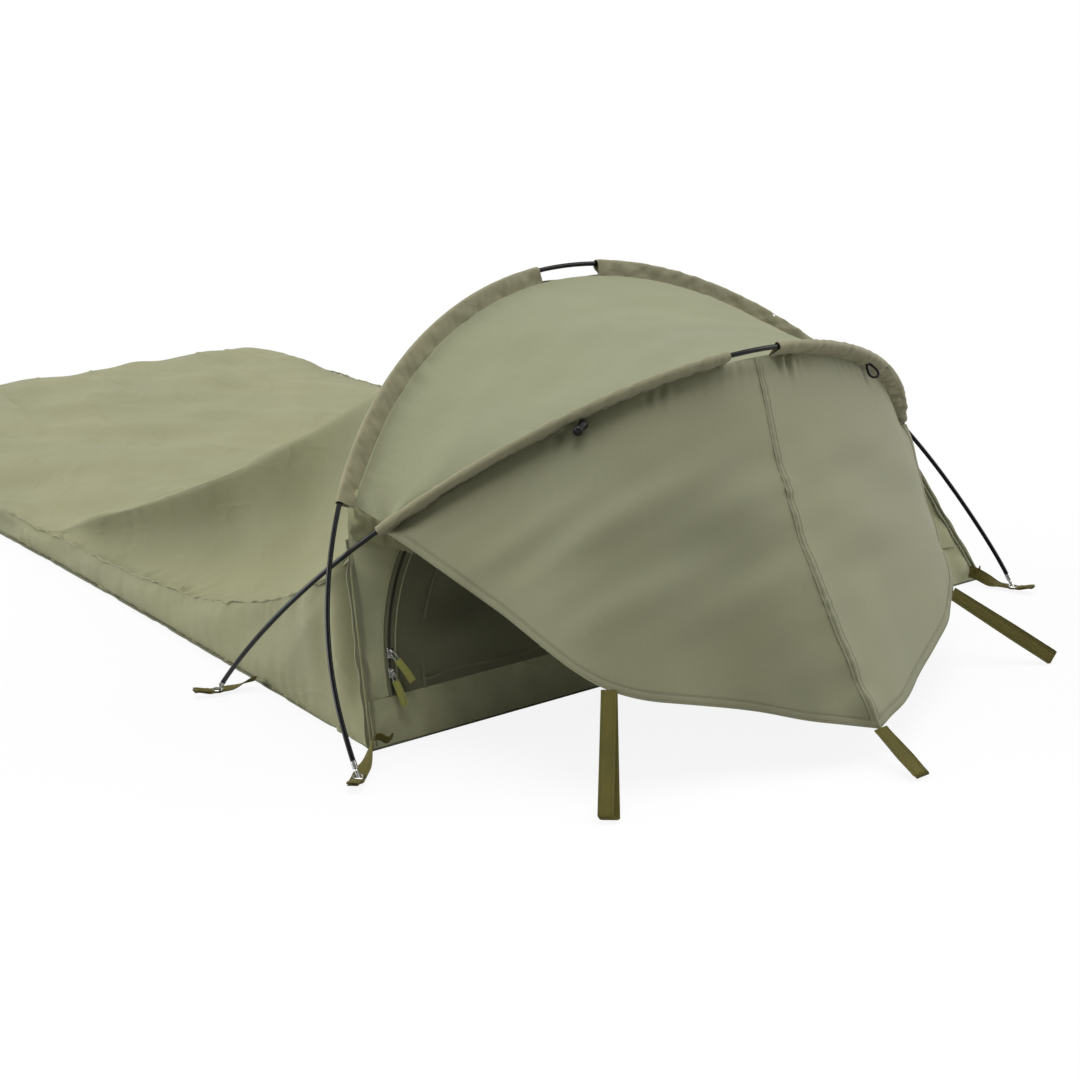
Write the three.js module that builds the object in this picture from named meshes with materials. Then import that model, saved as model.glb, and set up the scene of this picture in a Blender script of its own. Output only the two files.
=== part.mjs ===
// Two-hoop bivy sack: a sleeping bag cover with a raised head end, a door and a staked awning.
// Millimetres, +Z up, the head end faces -Y. The origin is the middle of the groundsheet's underside.
import * as THREE from "three";

// Overall sizes
const BAG_WIDTH = 1200;
const BAG_LENGTH = 2380;
const HOOP_OFFSET = -36;

// Cloth and seams
const CLOTH = 2;
const SHEET_THICKNESS = 3;
const SEAM_GAP = 3;
const FLAT_TOP = 84;
const SIDE_BOW = 14;
const SIDE_INSET = 6;
const SIDE_SEAM_LOW = 44;
const SIDE_SEAM_RISE = 200;
const SIDE_SEAM_REACH = 340;
const REAR_COVER_END = 1090;

// Poles, sleeves and fittings
const POLE_RADIUS = 3.5;
const FERRULE_RADIUS = 4.4;
const FERRULE_LENGTH = 34;
const TIP_RADIUS = 2.4;
const TIP_HEIGHT = 24;
const FIT_GAP = 0.4;
const SLEEVE_WIDE = 13.5;
const SLEEVE_DEEP = 8;
const SLEEVE_WALL = 1.5;
const SLEEVE_SHIFT = 4;
const SLEEVE_TO_CLOTH = 22;
const ARCH_TO_WALL = 15;
const WEBBING_WIDTH = 22;
const WEBBING_THICKNESS = 1.6;
const WEBBING_HEIGHT = 5;
const GROMMET_BORE = 5.4;
const GROMMET_WALL = 1;
const GROMMET_FLANGE = 9;
const GROMMET_PLATE = 0.8;

// Hoops: half span at the ground, roundness terms, height, lean (mm of Y per mm of Z),
// how far the right leg flares out and how far both feet kick forward
const REAR_HOOP = {
  span: 0.5642 * BAG_WIDTH, spanRound: -0.0375 * BAG_WIDTH,
  rise: 504, riseRound: -57.6, footY: -63.5, lean: 0.6476, flare: 0, kick: 16,
};
const FRONT_HOOP = {
  span: 0.4833 * BAG_WIDTH, spanRound: 0.035 * BAG_WIDTH,
  rise: 518, riseRound: 22.7, footY: 344, lean: -0.994, flare: 70, kick: 9,
};
const FLARE_POWER = 40;
const KICK_POWER = 24;
const REAR_SLEEVES = [44, 86, 94, 136];
const FRONT_SLEEVES = [30, 82, 93, 150];
const JOINTS_AT = [62, 118];

// Door in the head wall
const WALL_LEAN = 0.432;
const SHOULDER_Z = 290;
const DOOR_CENTRE = -14;
const DOOR_HALF = 0.448 * BAG_WIDTH;
const DOOR_TOP = 380;
const DOOR_ROUND = 2.4;
const DOOR_BOTTOM = 60;
const ZIP_HALF = 7;

// Awning hem: where its stake loops are sewn on, and where they meet the ground
const HEM_LEFT = [-0.355 * BAG_WIDTH, -290, 130];
const HEM_CENTRE = [-0.083 * BAG_WIDTH, -445, 44];
const HEM_RIGHT = [0.225 * BAG_WIDTH, -232, 100];
const STAKE_LEFT = [-0.416 * BAG_WIDTH, -374];
const STAKE_CENTRE = [-0.089 * BAG_WIDTH, -523];
const STAKE_RIGHT = [0.305 * BAG_WIDTH, -346];
const HEM_WIDTH = 14;
const SEAM_DRAW = 36;

const SLOTS = {
  canopy: { color: 0xa0a386, roughness: 0.85 },
  bag: { color: 0x989c7c, roughness: 0.85 },
  floor: { color: 0x55583f, roughness: 0.7 },
  door: { color: 0x6d6f57, roughness: 0.88 },
  tape: { color: 0x7c7d62, roughness: 0.9 },
  webbing: { color: 0x6b6630, roughness: 0.9 },
  pole: { color: 0x141414, roughness: 0.3 },
  metal: { color: 0xb8b8b4, roughness: 0.3, metalness: 1 },
  zipper: { color: 0x2c2d22, roughness: 0.6 },
  pull_tab: { color: 0x9aa05a, roughness: 0.8 },
  black_plastic: { color: 0x111111, roughness: 0.45 },
};

const group = new THREE.Group();
group.name = "bivy_sack";
const lerp = THREE.MathUtils.lerp;
const rad = THREE.MathUtils.degToRad;
const vec = (p) => new THREE.Vector3(...p);

function add(name, slot, geometry) {
  geometry.translate(0, -BAG_LENGTH / 2, 0);
  const material = new THREE.MeshStandardMaterial({ metalness: 0, ...SLOTS[slot] });
  material.name = slot;
  const mesh = new THREE.Mesh(geometry, material);
  mesh.name = name;
  group.add(mesh);
}

// A point on a hoop. t runs from 0 at the left foot to 180 degrees at the right foot.
function hoop(h, degrees) {
  const t = rad(degrees);
  const x = -(h.span * Math.cos(t) + h.spanRound * Math.cos(3 * t));
  const z = h.rise * Math.sin(t) + h.riseRound * Math.sin(3 * t);
  const flare = h.flare * ((1 - Math.cos(t)) / 2) ** FLARE_POWER;
  const kick = h.kick * Math.cos(t) ** KICK_POWER;
  return new THREE.Vector3(HOOP_OFFSET + x + flare, h.footY + h.lean * z - kick, z);
}

class HoopSpan extends THREE.Curve {
  constructor(h, from, to) {
    super();
    this.h = h;
    this.from = from;
    this.to = to;
  }
  getPoint(s) {
    return hoop(this.h, lerp(this.from, this.to, s));
  }
}

// Moves an angle along a hoop by a length in millimetres.
function along(h, degrees, length) {
  const speed = hoop(h, degrees + 0.5).distanceTo(hoop(h, degrees - 0.5));
  return degrees + length / speed;
}

// The angle at which a hoop's leg reaches a height, on the left (side -1) or the right (side 1).
function angleAt(h, height, side) {
  let low = 0;
  let high = 60;
  for (let i = 0; i < 30; i += 1) {
    const mid = (low + high) / 2;
    if (hoop(h, mid).z < height) low = mid;
    else high = mid;
  }
  return side < 0 ? low : 180 - low;
}

// Adds a closed cloth panel: the surface at(u, v), trimmed by a seam gap and thickened both ways.
function panel(name, slot, at, stepsU, stepsV, thickness = CLOTH, gap = SEAM_GAP) {
  const trimU = gap / at(0, 0.5).distanceTo(at(1, 0.5)) / 1.2;
  const trimV = gap / at(0.5, 0).distanceTo(at(0.5, 1));
  const grid = [];
  for (let i = 0; i <= stepsU; i += 1) {
    for (let j = 0; j <= stepsV; j += 1) {
      grid.push(at(lerp(trimU, 1 - trimU, i / stepsU), lerp(trimV, 1 - trimV, j / stepsV)));
    }
  }
  const id = (i, j) => i * (stepsV + 1) + j;
  const clampU = (i) => Math.min(Math.max(i, 0), stepsU);
  const clampV = (j) => Math.min(Math.max(j, 0), stepsV);
  const top = [];
  const bottom = [];
  for (let i = 0; i <= stepsU; i += 1) {
    for (let j = 0; j <= stepsV; j += 1) {
      const du = grid[id(clampU(i + 1), j)].clone().sub(grid[id(clampU(i - 1), j)]);
      const dv = grid[id(i, clampV(j + 1))].clone().sub(grid[id(i, clampV(j - 1))]);
      const normal = du.cross(dv).normalize().multiplyScalar(thickness / 2);
      top.push(grid[id(i, j)].clone().add(normal));
      bottom.push(grid[id(i, j)].clone().sub(normal));
    }
  }
  const points = [...top, ...bottom];
  const back = top.length;
  const index = [];
  for (let i = 0; i < stepsU; i += 1) {
    for (let j = 0; j < stepsV; j += 1) {
      const [a, b, c, d] = [id(i, j), id(i + 1, j), id(i + 1, j + 1), id(i, j + 1)];
      index.push(a, b, c, a, c, d);
      index.push(back + a, back + c, back + b, back + a, back + d, back + c);
    }
  }
  const rim = [];
  for (let i = 0; i < stepsU; i += 1) rim.push(id(i, 0));
  for (let j = 0; j < stepsV; j += 1) rim.push(id(stepsU, j));
  for (let i = stepsU; i > 0; i -= 1) rim.push(id(i, stepsV));
  for (let j = stepsV; j > 0; j -= 1) rim.push(id(0, j));
  rim.forEach((a, k) => {
    const b = rim[(k + 1) % rim.length];
    index.push(a, back + b, b, a, back + a, back + b);
  });
  const geometry = new THREE.BufferGeometry().setFromPoints(points);
  geometry.setIndex(index);
  add(name, slot, geometry);
}

// Adds a flat strap from one point to another, its width lying along side.
function strap(name, slot, from, to, side, width, thickness, steps = 1) {
  const across = side.clone().normalize().multiplyScalar(width / 2);
  const at = (u, v) => from.clone().lerp(to, u).addScaledVector(across, lerp(-1, 1, v));
  panel(name, slot, at, steps, 1, thickness, 0);
}

function ellipse(wide, deep, shift, sides) {
  const points = [];
  for (let i = 0; i < sides; i += 1) {
    const a = (2 * Math.PI * i) / sides;
    points.push(new THREE.Vector2(deep * Math.cos(a), shift + wide * Math.sin(a)));
  }
  return points;
}

// Adds a bar or a hollow sleeve that follows part of a hoop.
function sweep(name, slot, path, outer, inner, steps) {
  const shape = new THREE.Shape(outer);
  if (inner) shape.holes.push(new THREE.Path(inner));
  add(name, slot, new THREE.ExtrudeGeometry(shape, { steps, extrudePath: path, bevelEnabled: false }));
}

// Groundsheet
const half = BAG_WIDTH / 2;
const halfAt = (y) => half + SIDE_BOW * Math.sin(Math.PI * Math.min(Math.max(y / BAG_LENGTH, 0), 1));
panel("groundsheet", "floor",
  (u, v) => new THREE.Vector3(lerp(-1, 1, u) * halfAt(BAG_LENGTH * v), BAG_LENGTH * v, SHEET_THICKNESS / 2),
  4, 12, SHEET_THICKNESS, 0);

// Height of the seam between a side panel and the top cover.
function seamHeight(y) {
  return SIDE_SEAM_LOW + SIDE_SEAM_RISE * Math.exp(-((Math.max(y, 0) / SIDE_SEAM_REACH) ** 1.3));
}

// The head wall's line at a height: it leans back, then follows the rear hoop above the shoulders.
function wallY(z) {
  const shoulder = WALL_LEAN * (SHOULDER_Z - SHEET_THICKNESS);
  if (z < SHOULDER_Z) return WALL_LEAN * (z - SHEET_THICKNESS);
  return shoulder + REAR_HOOP.lean * (z - SHOULDER_Z);
}

// Where a side of the head end lies across the bag at a height, inside the rear hoop.
const shoulderAngle = angleAt(REAR_HOOP, SHOULDER_Z, -1);
function cornerX(z, side) {
  const shoulder = hoop(REAR_HOOP, side < 0 ? shoulderAngle : 180 - shoulderAngle).x - side * ARCH_TO_WALL;
  return lerp(side * half, shoulder, Math.min(z / SHOULDER_Z, 1));
}

// Side panels
const sideBottom = SHEET_THICKNESS + SEAM_GAP / 2;
for (const [side, label] of [[-1, "left"], [1, "right"]]) {
  panel(`side_panel_${label}`, "bag", (u, v) => {
    const y0 = BAG_LENGTH * u ** 1.5;
    const z = lerp(sideBottom, seamHeight(y0), v);
    const nearHead = Math.exp(-y0 / 150);
    const leanIn = side * (halfAt(y0) - SIDE_INSET - 0.1 * z);
    return new THREE.Vector3(
      lerp(leanIn, cornerX(z, side), nearHead), y0 * (1 - SEAM_GAP / BAG_LENGTH) + wallY(z) * nearHead, z);
  }, 14, 3);
}

// Top cover: a flat foot length and a rear cover that climbs to the rear hoop
const crown = (u) => 1 - Math.abs(2 * u - 1) ** 5;
const seamEdge = (u, y) => lerp(-1, 1, u) * (halfAt(y) - SIDE_INSET - 0.1 * seamHeight(y));
panel("top_cover", "bag", (u, v) => {
  const y = lerp(REAR_COVER_END, BAG_LENGTH, v);
  const foot = 1 - 0.15 * v ** 8;
  return new THREE.Vector3(seamEdge(u, y), y, lerp(seamHeight(y), FLAT_TOP * foot, crown(u)) + SEAM_GAP);
}, 10, 4);

const rearFrom = angleAt(REAR_HOOP, seamHeight(0), -1);
panel("rear_cover", "bag", (u, v) => {
  const angle = lerp(rearFrom, 180 - rearFrom, u);
  const arch = hoop(REAR_HOOP, angle);
  const low = Math.max(0, 1 - Math.abs(arch.z - seamHeight(0)) / 120);
  const side = u < 0.5 ? -1 : 1;
  arch.x = lerp(arch.x - side * ARCH_TO_WALL, cornerX(arch.z, side), low);
  arch.y += ARCH_TO_WALL;
  const y = lerp(arch.y, REAR_COVER_END, v);
  const end = lerp(seamHeight(REAR_COVER_END), FLAT_TOP, crown(u));
  const wing = Math.exp(-(((Math.abs(2 * u - 1) - 0.62) / 0.16) ** 2));
  const fall = (1 - v) ** lerp(2.6, 1.1, wing);
  const atSeam = seamHeight(y - wallY(seamHeight(0)) * Math.exp(-y / 150));
  const edge = Math.abs(2 * u - 1) ** 6;
  const z = lerp(end + (arch.z - end) * fall, Math.max(atSeam, end * v), edge);
  return new THREE.Vector3(lerp(arch.x, seamEdge(u, y), v ** 0.6), y, z + SEAM_GAP);
}, 16, 8);

// Foot end
panel("foot_panel", "bag", (u, v) => {
  const top = lerp(seamHeight(BAG_LENGTH), FLAT_TOP * 0.85, crown(u)) - SEAM_GAP;
  return new THREE.Vector3(lerp(-1, 1, u) * half * 0.975, BAG_LENGTH - CLOTH, lerp(sideBottom, top, v));
}, 10, 1);

// Head wall, door and zip, all on the leaning wall
const onWall = (x, z, out = 0) => new THREE.Vector3(x, wallY(z) - out, z);
function doorLine(angle, grow) {
  const c = Math.cos(angle);
  const s = Math.sin(angle);
  const x = -Math.sign(c) * (DOOR_HALF + grow) * Math.abs(c) ** (2 / DOOR_ROUND);
  return [DOOR_CENTRE + x, (DOOR_TOP + grow) * s ** (2 / DOOR_ROUND)];
}
const doorStart = Math.asin((DOOR_BOTTOM / DOOR_TOP) ** (DOOR_ROUND / 2));
const doorAngle = (u) => lerp(doorStart, Math.PI - doorStart, u);

function wallEdge(u) {
  const start = angleAt(REAR_HOOP, DOOR_BOTTOM, -1);
  const arch = hoop(REAR_HOOP, lerp(start, 180 - start, u));
  const side = u < 0.5 ? -1 : 1;
  if (arch.z < SHOULDER_Z) return onWall(cornerX(arch.z, side) - side * SEAM_GAP, arch.z);
  const inward = Math.min((arch.z - SHOULDER_Z) / 60, 1);
  return onWall(arch.x - side * ARCH_TO_WALL * (1 - inward * 0.5) - side * SEAM_GAP, arch.z - ARCH_TO_WALL * inward);
}
panel("head_wall", "door", (u, v) => {
  const [x, z] = doorLine(doorAngle(u), ZIP_HALF + SEAM_GAP);
  return wallEdge(u).lerp(onWall(x, z), v);
}, 24, 2);
panel("door_sill", "door", (u, v) => {
  const z = lerp(sideBottom, DOOR_BOTTOM - SEAM_GAP, v);
  return onWall(lerp(cornerX(z, -1), cornerX(z, 1), u), z);
}, 6, 1);
panel("door_zip", "zipper", (u, v) => {
  const [x, z] = doorLine(doorAngle(u), lerp(ZIP_HALF, -ZIP_HALF, v));
  return onWall(x, z);
}, 30, 1, CLOTH, 1);
panel("door_flap", "door", (u, v) => {
  const edge = ZIP_HALF + SEAM_GAP;
  const [x, top] = doorLine(doorAngle(u), -edge);
  return onWall(x, lerp(DOOR_BOTTOM, Math.max(top, DOOR_BOTTOM + edge), v));
}, 18, 4);

// Zip sliders with their pull tabs, side by side at the foot of the zip's left run
const SLIDER_AT = [88, 112];
const SLIDER = { wide: 9, long: 14, thick: 4 };
const TAB = { wide: 10, long: 42, thick: 1.6 };
["lower", "upper"].forEach((label, k) => {
  const angle = Math.asin((SLIDER_AT[k] / DOOR_TOP) ** (DOOR_ROUND / 2));
  const [x, z] = doorLine(angle, 0);
  const [x2, z2] = doorLine(angle + 0.02, 0);
  const run = onWall(x2, z2).sub(onWall(x, z)).normalize();
  const across = new THREE.Vector3(1, 0, 0).addScaledVector(run, -run.x).normalize();
  const off = CLOTH / 2 + FIT_GAP + SLIDER.thick / 2;
  const out = new THREE.Vector3().crossVectors(across, run).normalize().multiplyScalar(off);
  const centre = onWall(x, z).add(out);
  const reach = run.clone().multiplyScalar(SLIDER.long / 2);
  strap(`zip_slider_${label}`, "metal", centre.clone().sub(reach), centre.clone().add(reach),
    across, SLIDER.wide, SLIDER.thick);
  const hang = out.clone().multiplyScalar((SLIDER.thick + TAB.thick) / 2 / off + FIT_GAP / off);
  const top = centre.clone().add(hang).addScaledVector(across, k * 2);
  const fall = new THREE.Vector3(0.25 + 0.2 * k, 0, 0).addScaledVector(run, -1).normalize();
  const end = top.clone().addScaledVector(fall, TAB.long);
  end.addScaledVector(out, k * 3.6 / off);
  strap(`pull_tab_${label}`, "pull_tab", top, end, across, TAB.wide, TAB.thick, 2);
});

// Poles: three sections a hoop, joined by ferrules, each foot ending in a metal tip
for (const [label, h] of [["rear", REAR_HOOP], ["front", FRONT_HOOP]]) {
  const feet = [angleAt(h, TIP_HEIGHT, -1), angleAt(h, TIP_HEIGHT, 1)];
  const stops = [feet[0], ...JOINTS_AT, feet[1]];
  for (let i = 0; i < 3; i += 1) {
    const trim = FERRULE_LENGTH / 2 + FIT_GAP;
    const from = along(h, stops[i], i === 0 ? FIT_GAP : trim);
    const to = along(h, stops[i + 1], i === 2 ? -FIT_GAP : -trim);
    sweep(`${label}_pole_section_${i + 1}`, "pole", new HoopSpan(h, from, to),
      ellipse(POLE_RADIUS, POLE_RADIUS, 0, 8), null, 12);
  }
  JOINTS_AT.forEach((at, k) => {
    const span = new HoopSpan(h, along(h, at, -FERRULE_LENGTH / 2), along(h, at, FERRULE_LENGTH / 2));
    sweep(`${label}_pole_ferrule_${k + 1}`, "metal", span, ellipse(FERRULE_RADIUS, FERRULE_RADIUS, 0, 8), null, 2);
  });
  [-1, 1].forEach((side, k) => {
    const ground = angleAt(h, TIP_RADIUS + FIT_GAP, side);
    sweep(`${label}_pole_tip_${k ? "right" : "left"}`, "metal", new HoopSpan(h, ground, feet[k]),
      ellipse(TIP_RADIUS, TIP_RADIUS, 0, 8), null, 2);
  });
}

// Pole sleeves, two a hoop with a bare length at the crown
const sleeveInner = [SLEEVE_WIDE - SLEEVE_WALL, SLEEVE_DEEP - SLEEVE_WALL];
for (const [label, h, stops, lean] of
  [["rear", REAR_HOOP, REAR_SLEEVES, 1], ["front", FRONT_HOOP, FRONT_SLEEVES, 1]]) {
  ["left", "right"].forEach((side, k) => {
    const shift = SLEEVE_SHIFT * lean;
    sweep(`${label}_sleeve_${side}`, "tape", new HoopSpan(h, stops[2 * k], stops[2 * k + 1]),
      ellipse(SLEEVE_WIDE, SLEEVE_DEEP, shift, 12), ellipse(...sleeveInner, shift, 12), 14);
  });
}

// Canopy between the hoops
panel("canopy", "canopy", (u, v) => {
  const rear = hoop(REAR_HOOP, lerp(REAR_SLEEVES[0] + 2, REAR_SLEEVES[3] - 2, u));
  const front = hoop(FRONT_HOOP, lerp(FRONT_SLEEVES[0] + 3, FRONT_SLEEVES[3] - 3, u));
  const share = SLEEVE_TO_CLOTH / rear.distanceTo(front);
  const sag = -0.02 * rear.distanceTo(front) * Math.sin(Math.PI * v);
  return rear.lerp(front, lerp(share, 1 - share, v)).add(new THREE.Vector3(0, 0, sag));
}, 20, 6, CLOTH, 0);

// Awning: two panels from the front hoop to a hem held by three stake loops
const hemEnd = (angle) => hoop(FRONT_HOOP, angle).add(new THREE.Vector3(0, -8, -10));
const leftEnd = hemEnd(FRONT_SLEEVES[0] + 1);
const rightEnd = hemEnd(FRONT_SLEEVES[3] - 1);
const hemAt = new THREE.CatmullRomCurve3([
  leftEnd,
  leftEnd.clone().lerp(vec(HEM_LEFT), 0.5),
  vec(HEM_LEFT),
  vec(HEM_LEFT).lerp(vec(HEM_CENTRE), 0.5),
  vec(HEM_CENTRE),
  vec(HEM_CENTRE).lerp(vec(HEM_RIGHT), 0.5).add(new THREE.Vector3(-25, -25, -12)),
  vec(HEM_RIGHT),
  vec(HEM_RIGHT).lerp(rightEnd, 0.5).add(new THREE.Vector3(-20, -25, -10)),
  rightEnd,
]);
function awning(u, v, lift = 0) {
  const top = hoop(FRONT_HOOP, lerp(FRONT_SLEEVES[0] + 2, FRONT_SLEEVES[3] - 2, u));
  const hem = hemAt.getPoint(u);
  const share = Math.min(SLEEVE_TO_CLOTH / top.distanceTo(hem), 0.45);
  const point = top.clone().lerp(hem, lerp(share, 1, v));
  const bow = 14 * Math.sin(Math.PI * v) * Math.sin(Math.PI * u) + lift;
  const draw = SEAM_DRAW * Math.sin(Math.PI * v) * Math.exp(-(((u - 0.5) / 0.22) ** 2));
  return point.add(new THREE.Vector3(-draw, -0.8 * bow, 0.6 * bow));
}
panel("awning_left", "canopy", (u, v) => awning(lerp(0.02, 0.5, u), v), 12, 5);
panel("awning_right", "canopy", (u, v) => awning(lerp(0.5, 0.98, u), v), 12, 5);
const TAPE_LIFT = CLOTH + 2;
panel("awning_seam_tape", "tape", (u, v) => awning(lerp(0.49, 0.51, v), lerp(0, 0.9, u), TAPE_LIFT),
  5, 1, CLOTH, 0);
const hemShare = HEM_WIDTH / 430;
for (const [label, from, to] of [["left", 0.02, 0.5], ["right", 0.5, 0.98]]) {
  panel(`awning_hem_${label}`, "tape",
    (u, v) => awning(lerp(from, to, u), lerp(1 - hemShare, 0.992, v), TAPE_LIFT), 12, 1, CLOTH, SEAM_GAP);
}

// Stake loops from the hem to the ground
const LOOP_THICKNESS = 3.2;
for (const [label, hem, stake] of [["left", HEM_LEFT, STAKE_LEFT], ["centre", HEM_CENTRE, STAKE_CENTRE],
  ["right", HEM_RIGHT, STAKE_RIGHT]]) {
  const top = vec(hem);
  const end = new THREE.Vector3(stake[0], stake[1], LOOP_THICKNESS);
  const run = end.clone().sub(top);
  const side = new THREE.Vector3(run.y, -run.x, 0);
  const from = top.clone().addScaledVector(run.clone().normalize(), SEAM_GAP + CLOTH + FIT_GAP);
  strap(`stake_loop_${label}`, "webbing", from, end, side, WEBBING_WIDTH * 0.9, LOOP_THICKNESS, 3);
}

// Foot straps: webbing flat on the ground from the bag's edge, with a grommet round each pole tip
const grommetOut = GROMMET_BORE + GROMMET_WALL;
const FRONT_STRAP_BACK = 24;
for (const [label, h] of [["rear", REAR_HOOP], ["front", FRONT_HOOP]]) {
  [-1, 1].forEach((side, k) => {
    const word = k ? "right" : "left";
    const tip = hoop(h, angleAt(h, WEBBING_HEIGHT + WEBBING_THICKNESS / 2, side));
    const start = new THREE.Vector2(side * (half + SEAM_GAP), h.footY - FRONT_STRAP_BACK);
    if (label === "rear") {
      start.y = -SEAM_GAP - CLOTH;
      start.x = Math.min(half, tip.x * side - FRONT_STRAP_BACK) * side;
    }
    const run = new THREE.Vector2(tip.x, tip.y).sub(start);
    const length = run.length();
    const tail = length + 38;
    const w = WEBBING_WIDTH / 2;
    const outline = [[0, -w], [length - 8, -w], [tail, -w * 0.6], [tail, w * 0.6], [length - 8, w], [0, w]];
    const shape = new THREE.Shape(outline.map((p) => new THREE.Vector2(...p)));
    shape.holes.push(new THREE.Path(ellipse(grommetOut + FIT_GAP, grommetOut + FIT_GAP, 0, 12)
      .map((p) => p.add(new THREE.Vector2(length, 0)))));
    const cloth = new THREE.ExtrudeGeometry(shape, { depth: WEBBING_THICKNESS, bevelEnabled: false });
    cloth.rotateZ(run.angle());
    cloth.translate(start.x, start.y, WEBBING_HEIGHT);
    add(`${label}_foot_strap_${word}`, "webbing", cloth);
    const under = WEBBING_HEIGHT - FIT_GAP;
    const over = WEBBING_HEIGHT + WEBBING_THICKNESS + FIT_GAP;
    const ring = [[GROMMET_BORE, under - GROMMET_PLATE], [GROMMET_FLANGE, under - GROMMET_PLATE],
      [GROMMET_FLANGE, under], [grommetOut, under], [grommetOut, over], [GROMMET_FLANGE, over],
      [GROMMET_FLANGE, over + GROMMET_PLATE], [GROMMET_BORE, over + GROMMET_PLATE],
      [GROMMET_BORE, under - GROMMET_PLATE]];
    const metal = new THREE.LatheGeometry(ring.map((p) => new THREE.Vector2(...p)), 16);
    metal.rotateX(Math.PI / 2);
    metal.translate(tip.x, tip.y, 0);
    add(`${label}_grommet_${word}`, "metal", metal);
  });
}

// Roll-up toggle and its elastic loop, hanging inside the front hoop
const TOGGLE_AT = 57;
const LOOP_AT = 122;
const HANG = [0, 18, -29];
const hangPoint = (angle) => hoop(FRONT_HOOP, angle).add(vec(HANG));
const barrel = [[0, -11], [4.5, -11], [6, -8], [4.6, 0], [6, 8], [4.5, 11], [0, 11]];
const toggle = new THREE.LatheGeometry(barrel.map((p) => new THREE.Vector2(...p)), 12);
toggle.rotateZ(Math.PI / 2);
toggle.translate(...hangPoint(TOGGLE_AT).toArray());
add("rollup_toggle", "black_plastic", toggle);
const loop = new THREE.TorusGeometry(10, 1.6, 6, 16);
loop.translate(...hangPoint(LOOP_AT).toArray());
add("rollup_loop", "black_plastic", loop);

export default group;
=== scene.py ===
"""Two-hoop bivy sack: sewn cloth, poles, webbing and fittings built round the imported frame.

Metres, +Z up, the head end faces -Y. Cloth is laid out in bag coordinates, where y is 0 at the
groundsheet's head edge, and every mesh is moved to the row frame as it is made.
"""
import logging
import math
from dataclasses import dataclass, field
from enum import Enum

import bmesh
import bpy
import numpy as np
from mathutils import Matrix, Vector


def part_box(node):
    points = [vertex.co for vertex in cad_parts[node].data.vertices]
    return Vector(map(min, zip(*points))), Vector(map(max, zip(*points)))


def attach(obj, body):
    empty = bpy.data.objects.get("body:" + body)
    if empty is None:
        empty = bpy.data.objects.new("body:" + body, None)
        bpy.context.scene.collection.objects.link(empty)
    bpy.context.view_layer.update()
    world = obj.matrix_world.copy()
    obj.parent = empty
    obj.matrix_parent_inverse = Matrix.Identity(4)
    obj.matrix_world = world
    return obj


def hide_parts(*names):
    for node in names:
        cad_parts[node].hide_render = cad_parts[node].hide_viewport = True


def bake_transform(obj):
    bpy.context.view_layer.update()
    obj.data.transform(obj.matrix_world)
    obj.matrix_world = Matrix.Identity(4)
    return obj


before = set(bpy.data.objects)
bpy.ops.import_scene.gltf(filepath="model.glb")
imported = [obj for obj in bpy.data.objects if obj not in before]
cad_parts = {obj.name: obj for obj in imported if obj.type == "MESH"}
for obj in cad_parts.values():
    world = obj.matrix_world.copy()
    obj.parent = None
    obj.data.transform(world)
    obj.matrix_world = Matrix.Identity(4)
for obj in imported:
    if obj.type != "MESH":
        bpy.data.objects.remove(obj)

log = logging.getLogger("bivy")
Array = np.ndarray
Node = bpy.types.Node
Socket = bpy.types.NodeSocket
Object = bpy.types.Object

HEAD_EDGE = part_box("groundsheet")[0].y
BAG_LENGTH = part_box("groundsheet")[1].y - HEAD_EDGE
BAG_WIDTH = 1.2
HALF = BAG_WIDTH / 2


class Coordinates(Enum):
    """Which coordinates a finish is laid out in."""

    SEWN = "UV"
    SOLID = "Object"


class Side(Enum):
    """A side of the bag, with the sign of its X."""

    LEFT = -1
    RIGHT = 1

    @property
    def word(self) -> str:
        """The side's name as it stands in node names."""
        return self.name.lower()


# ---------------------------------------------------------------- shapes in numbers


def vec(x: Array, y: Array, z: Array) -> Array:
    """Joins three coordinate arrays into points."""
    return np.stack(np.broadcast_arrays(x, y, z), -1).astype(float)


def lerp(a: Array, b: Array, share: Array) -> Array:
    """The point or number a share of the way from a to b."""
    return a + (b - a) * share


def smooth(low: float, high: float, value: Array) -> Array:
    """A smooth step from 0 at low to 1 at high."""
    t = np.clip((value - low) / (high - low), 0, 1)
    return t * t * (3 - 2 * t)


def unit(points: Array) -> Array:
    """Vectors of length one."""
    return points / np.maximum(np.linalg.norm(points, axis=-1, keepdims=True), 1e-9)


def grid_uv(across: int, down: int) -> tuple[Array, Array]:
    """Two arrays that run from 0 to 1 over a grid.

    Args:
        across: number of steps along u.
        down: number of steps along v.

    Returns:
        The u and v of every grid point.
    """
    return np.meshgrid(np.linspace(0, 1, across + 1), np.linspace(0, 1, down + 1), indexing="ij")


def normals_of(grid: Array) -> Array:
    """Unit normals of a grid of points."""
    return unit(np.cross(np.gradient(grid, axis=0), np.gradient(grid, axis=1)))


def raised(grid: Array, height: Array) -> Array:
    """The grid moved out along its own normals by height."""
    return grid + normals_of(grid) * np.asarray(height)[..., None]


def relaxed(grid: Array, rounds: int) -> Array:
    """Evens a grid out by averaging neighbours, with its rim held.

    Args:
        grid: points of the cloth.
        rounds: how many times it is averaged.

    Returns:
        The evened grid.
    """
    for _ in range(rounds):
        mean = (grid[2:, 1:-1] + grid[:-2, 1:-1] + grid[1:-1, 2:] + grid[1:-1, :-2]) / 4
        grid[1:-1, 1:-1] += mean - grid[1:-1, 1:-1]
    return grid


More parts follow.
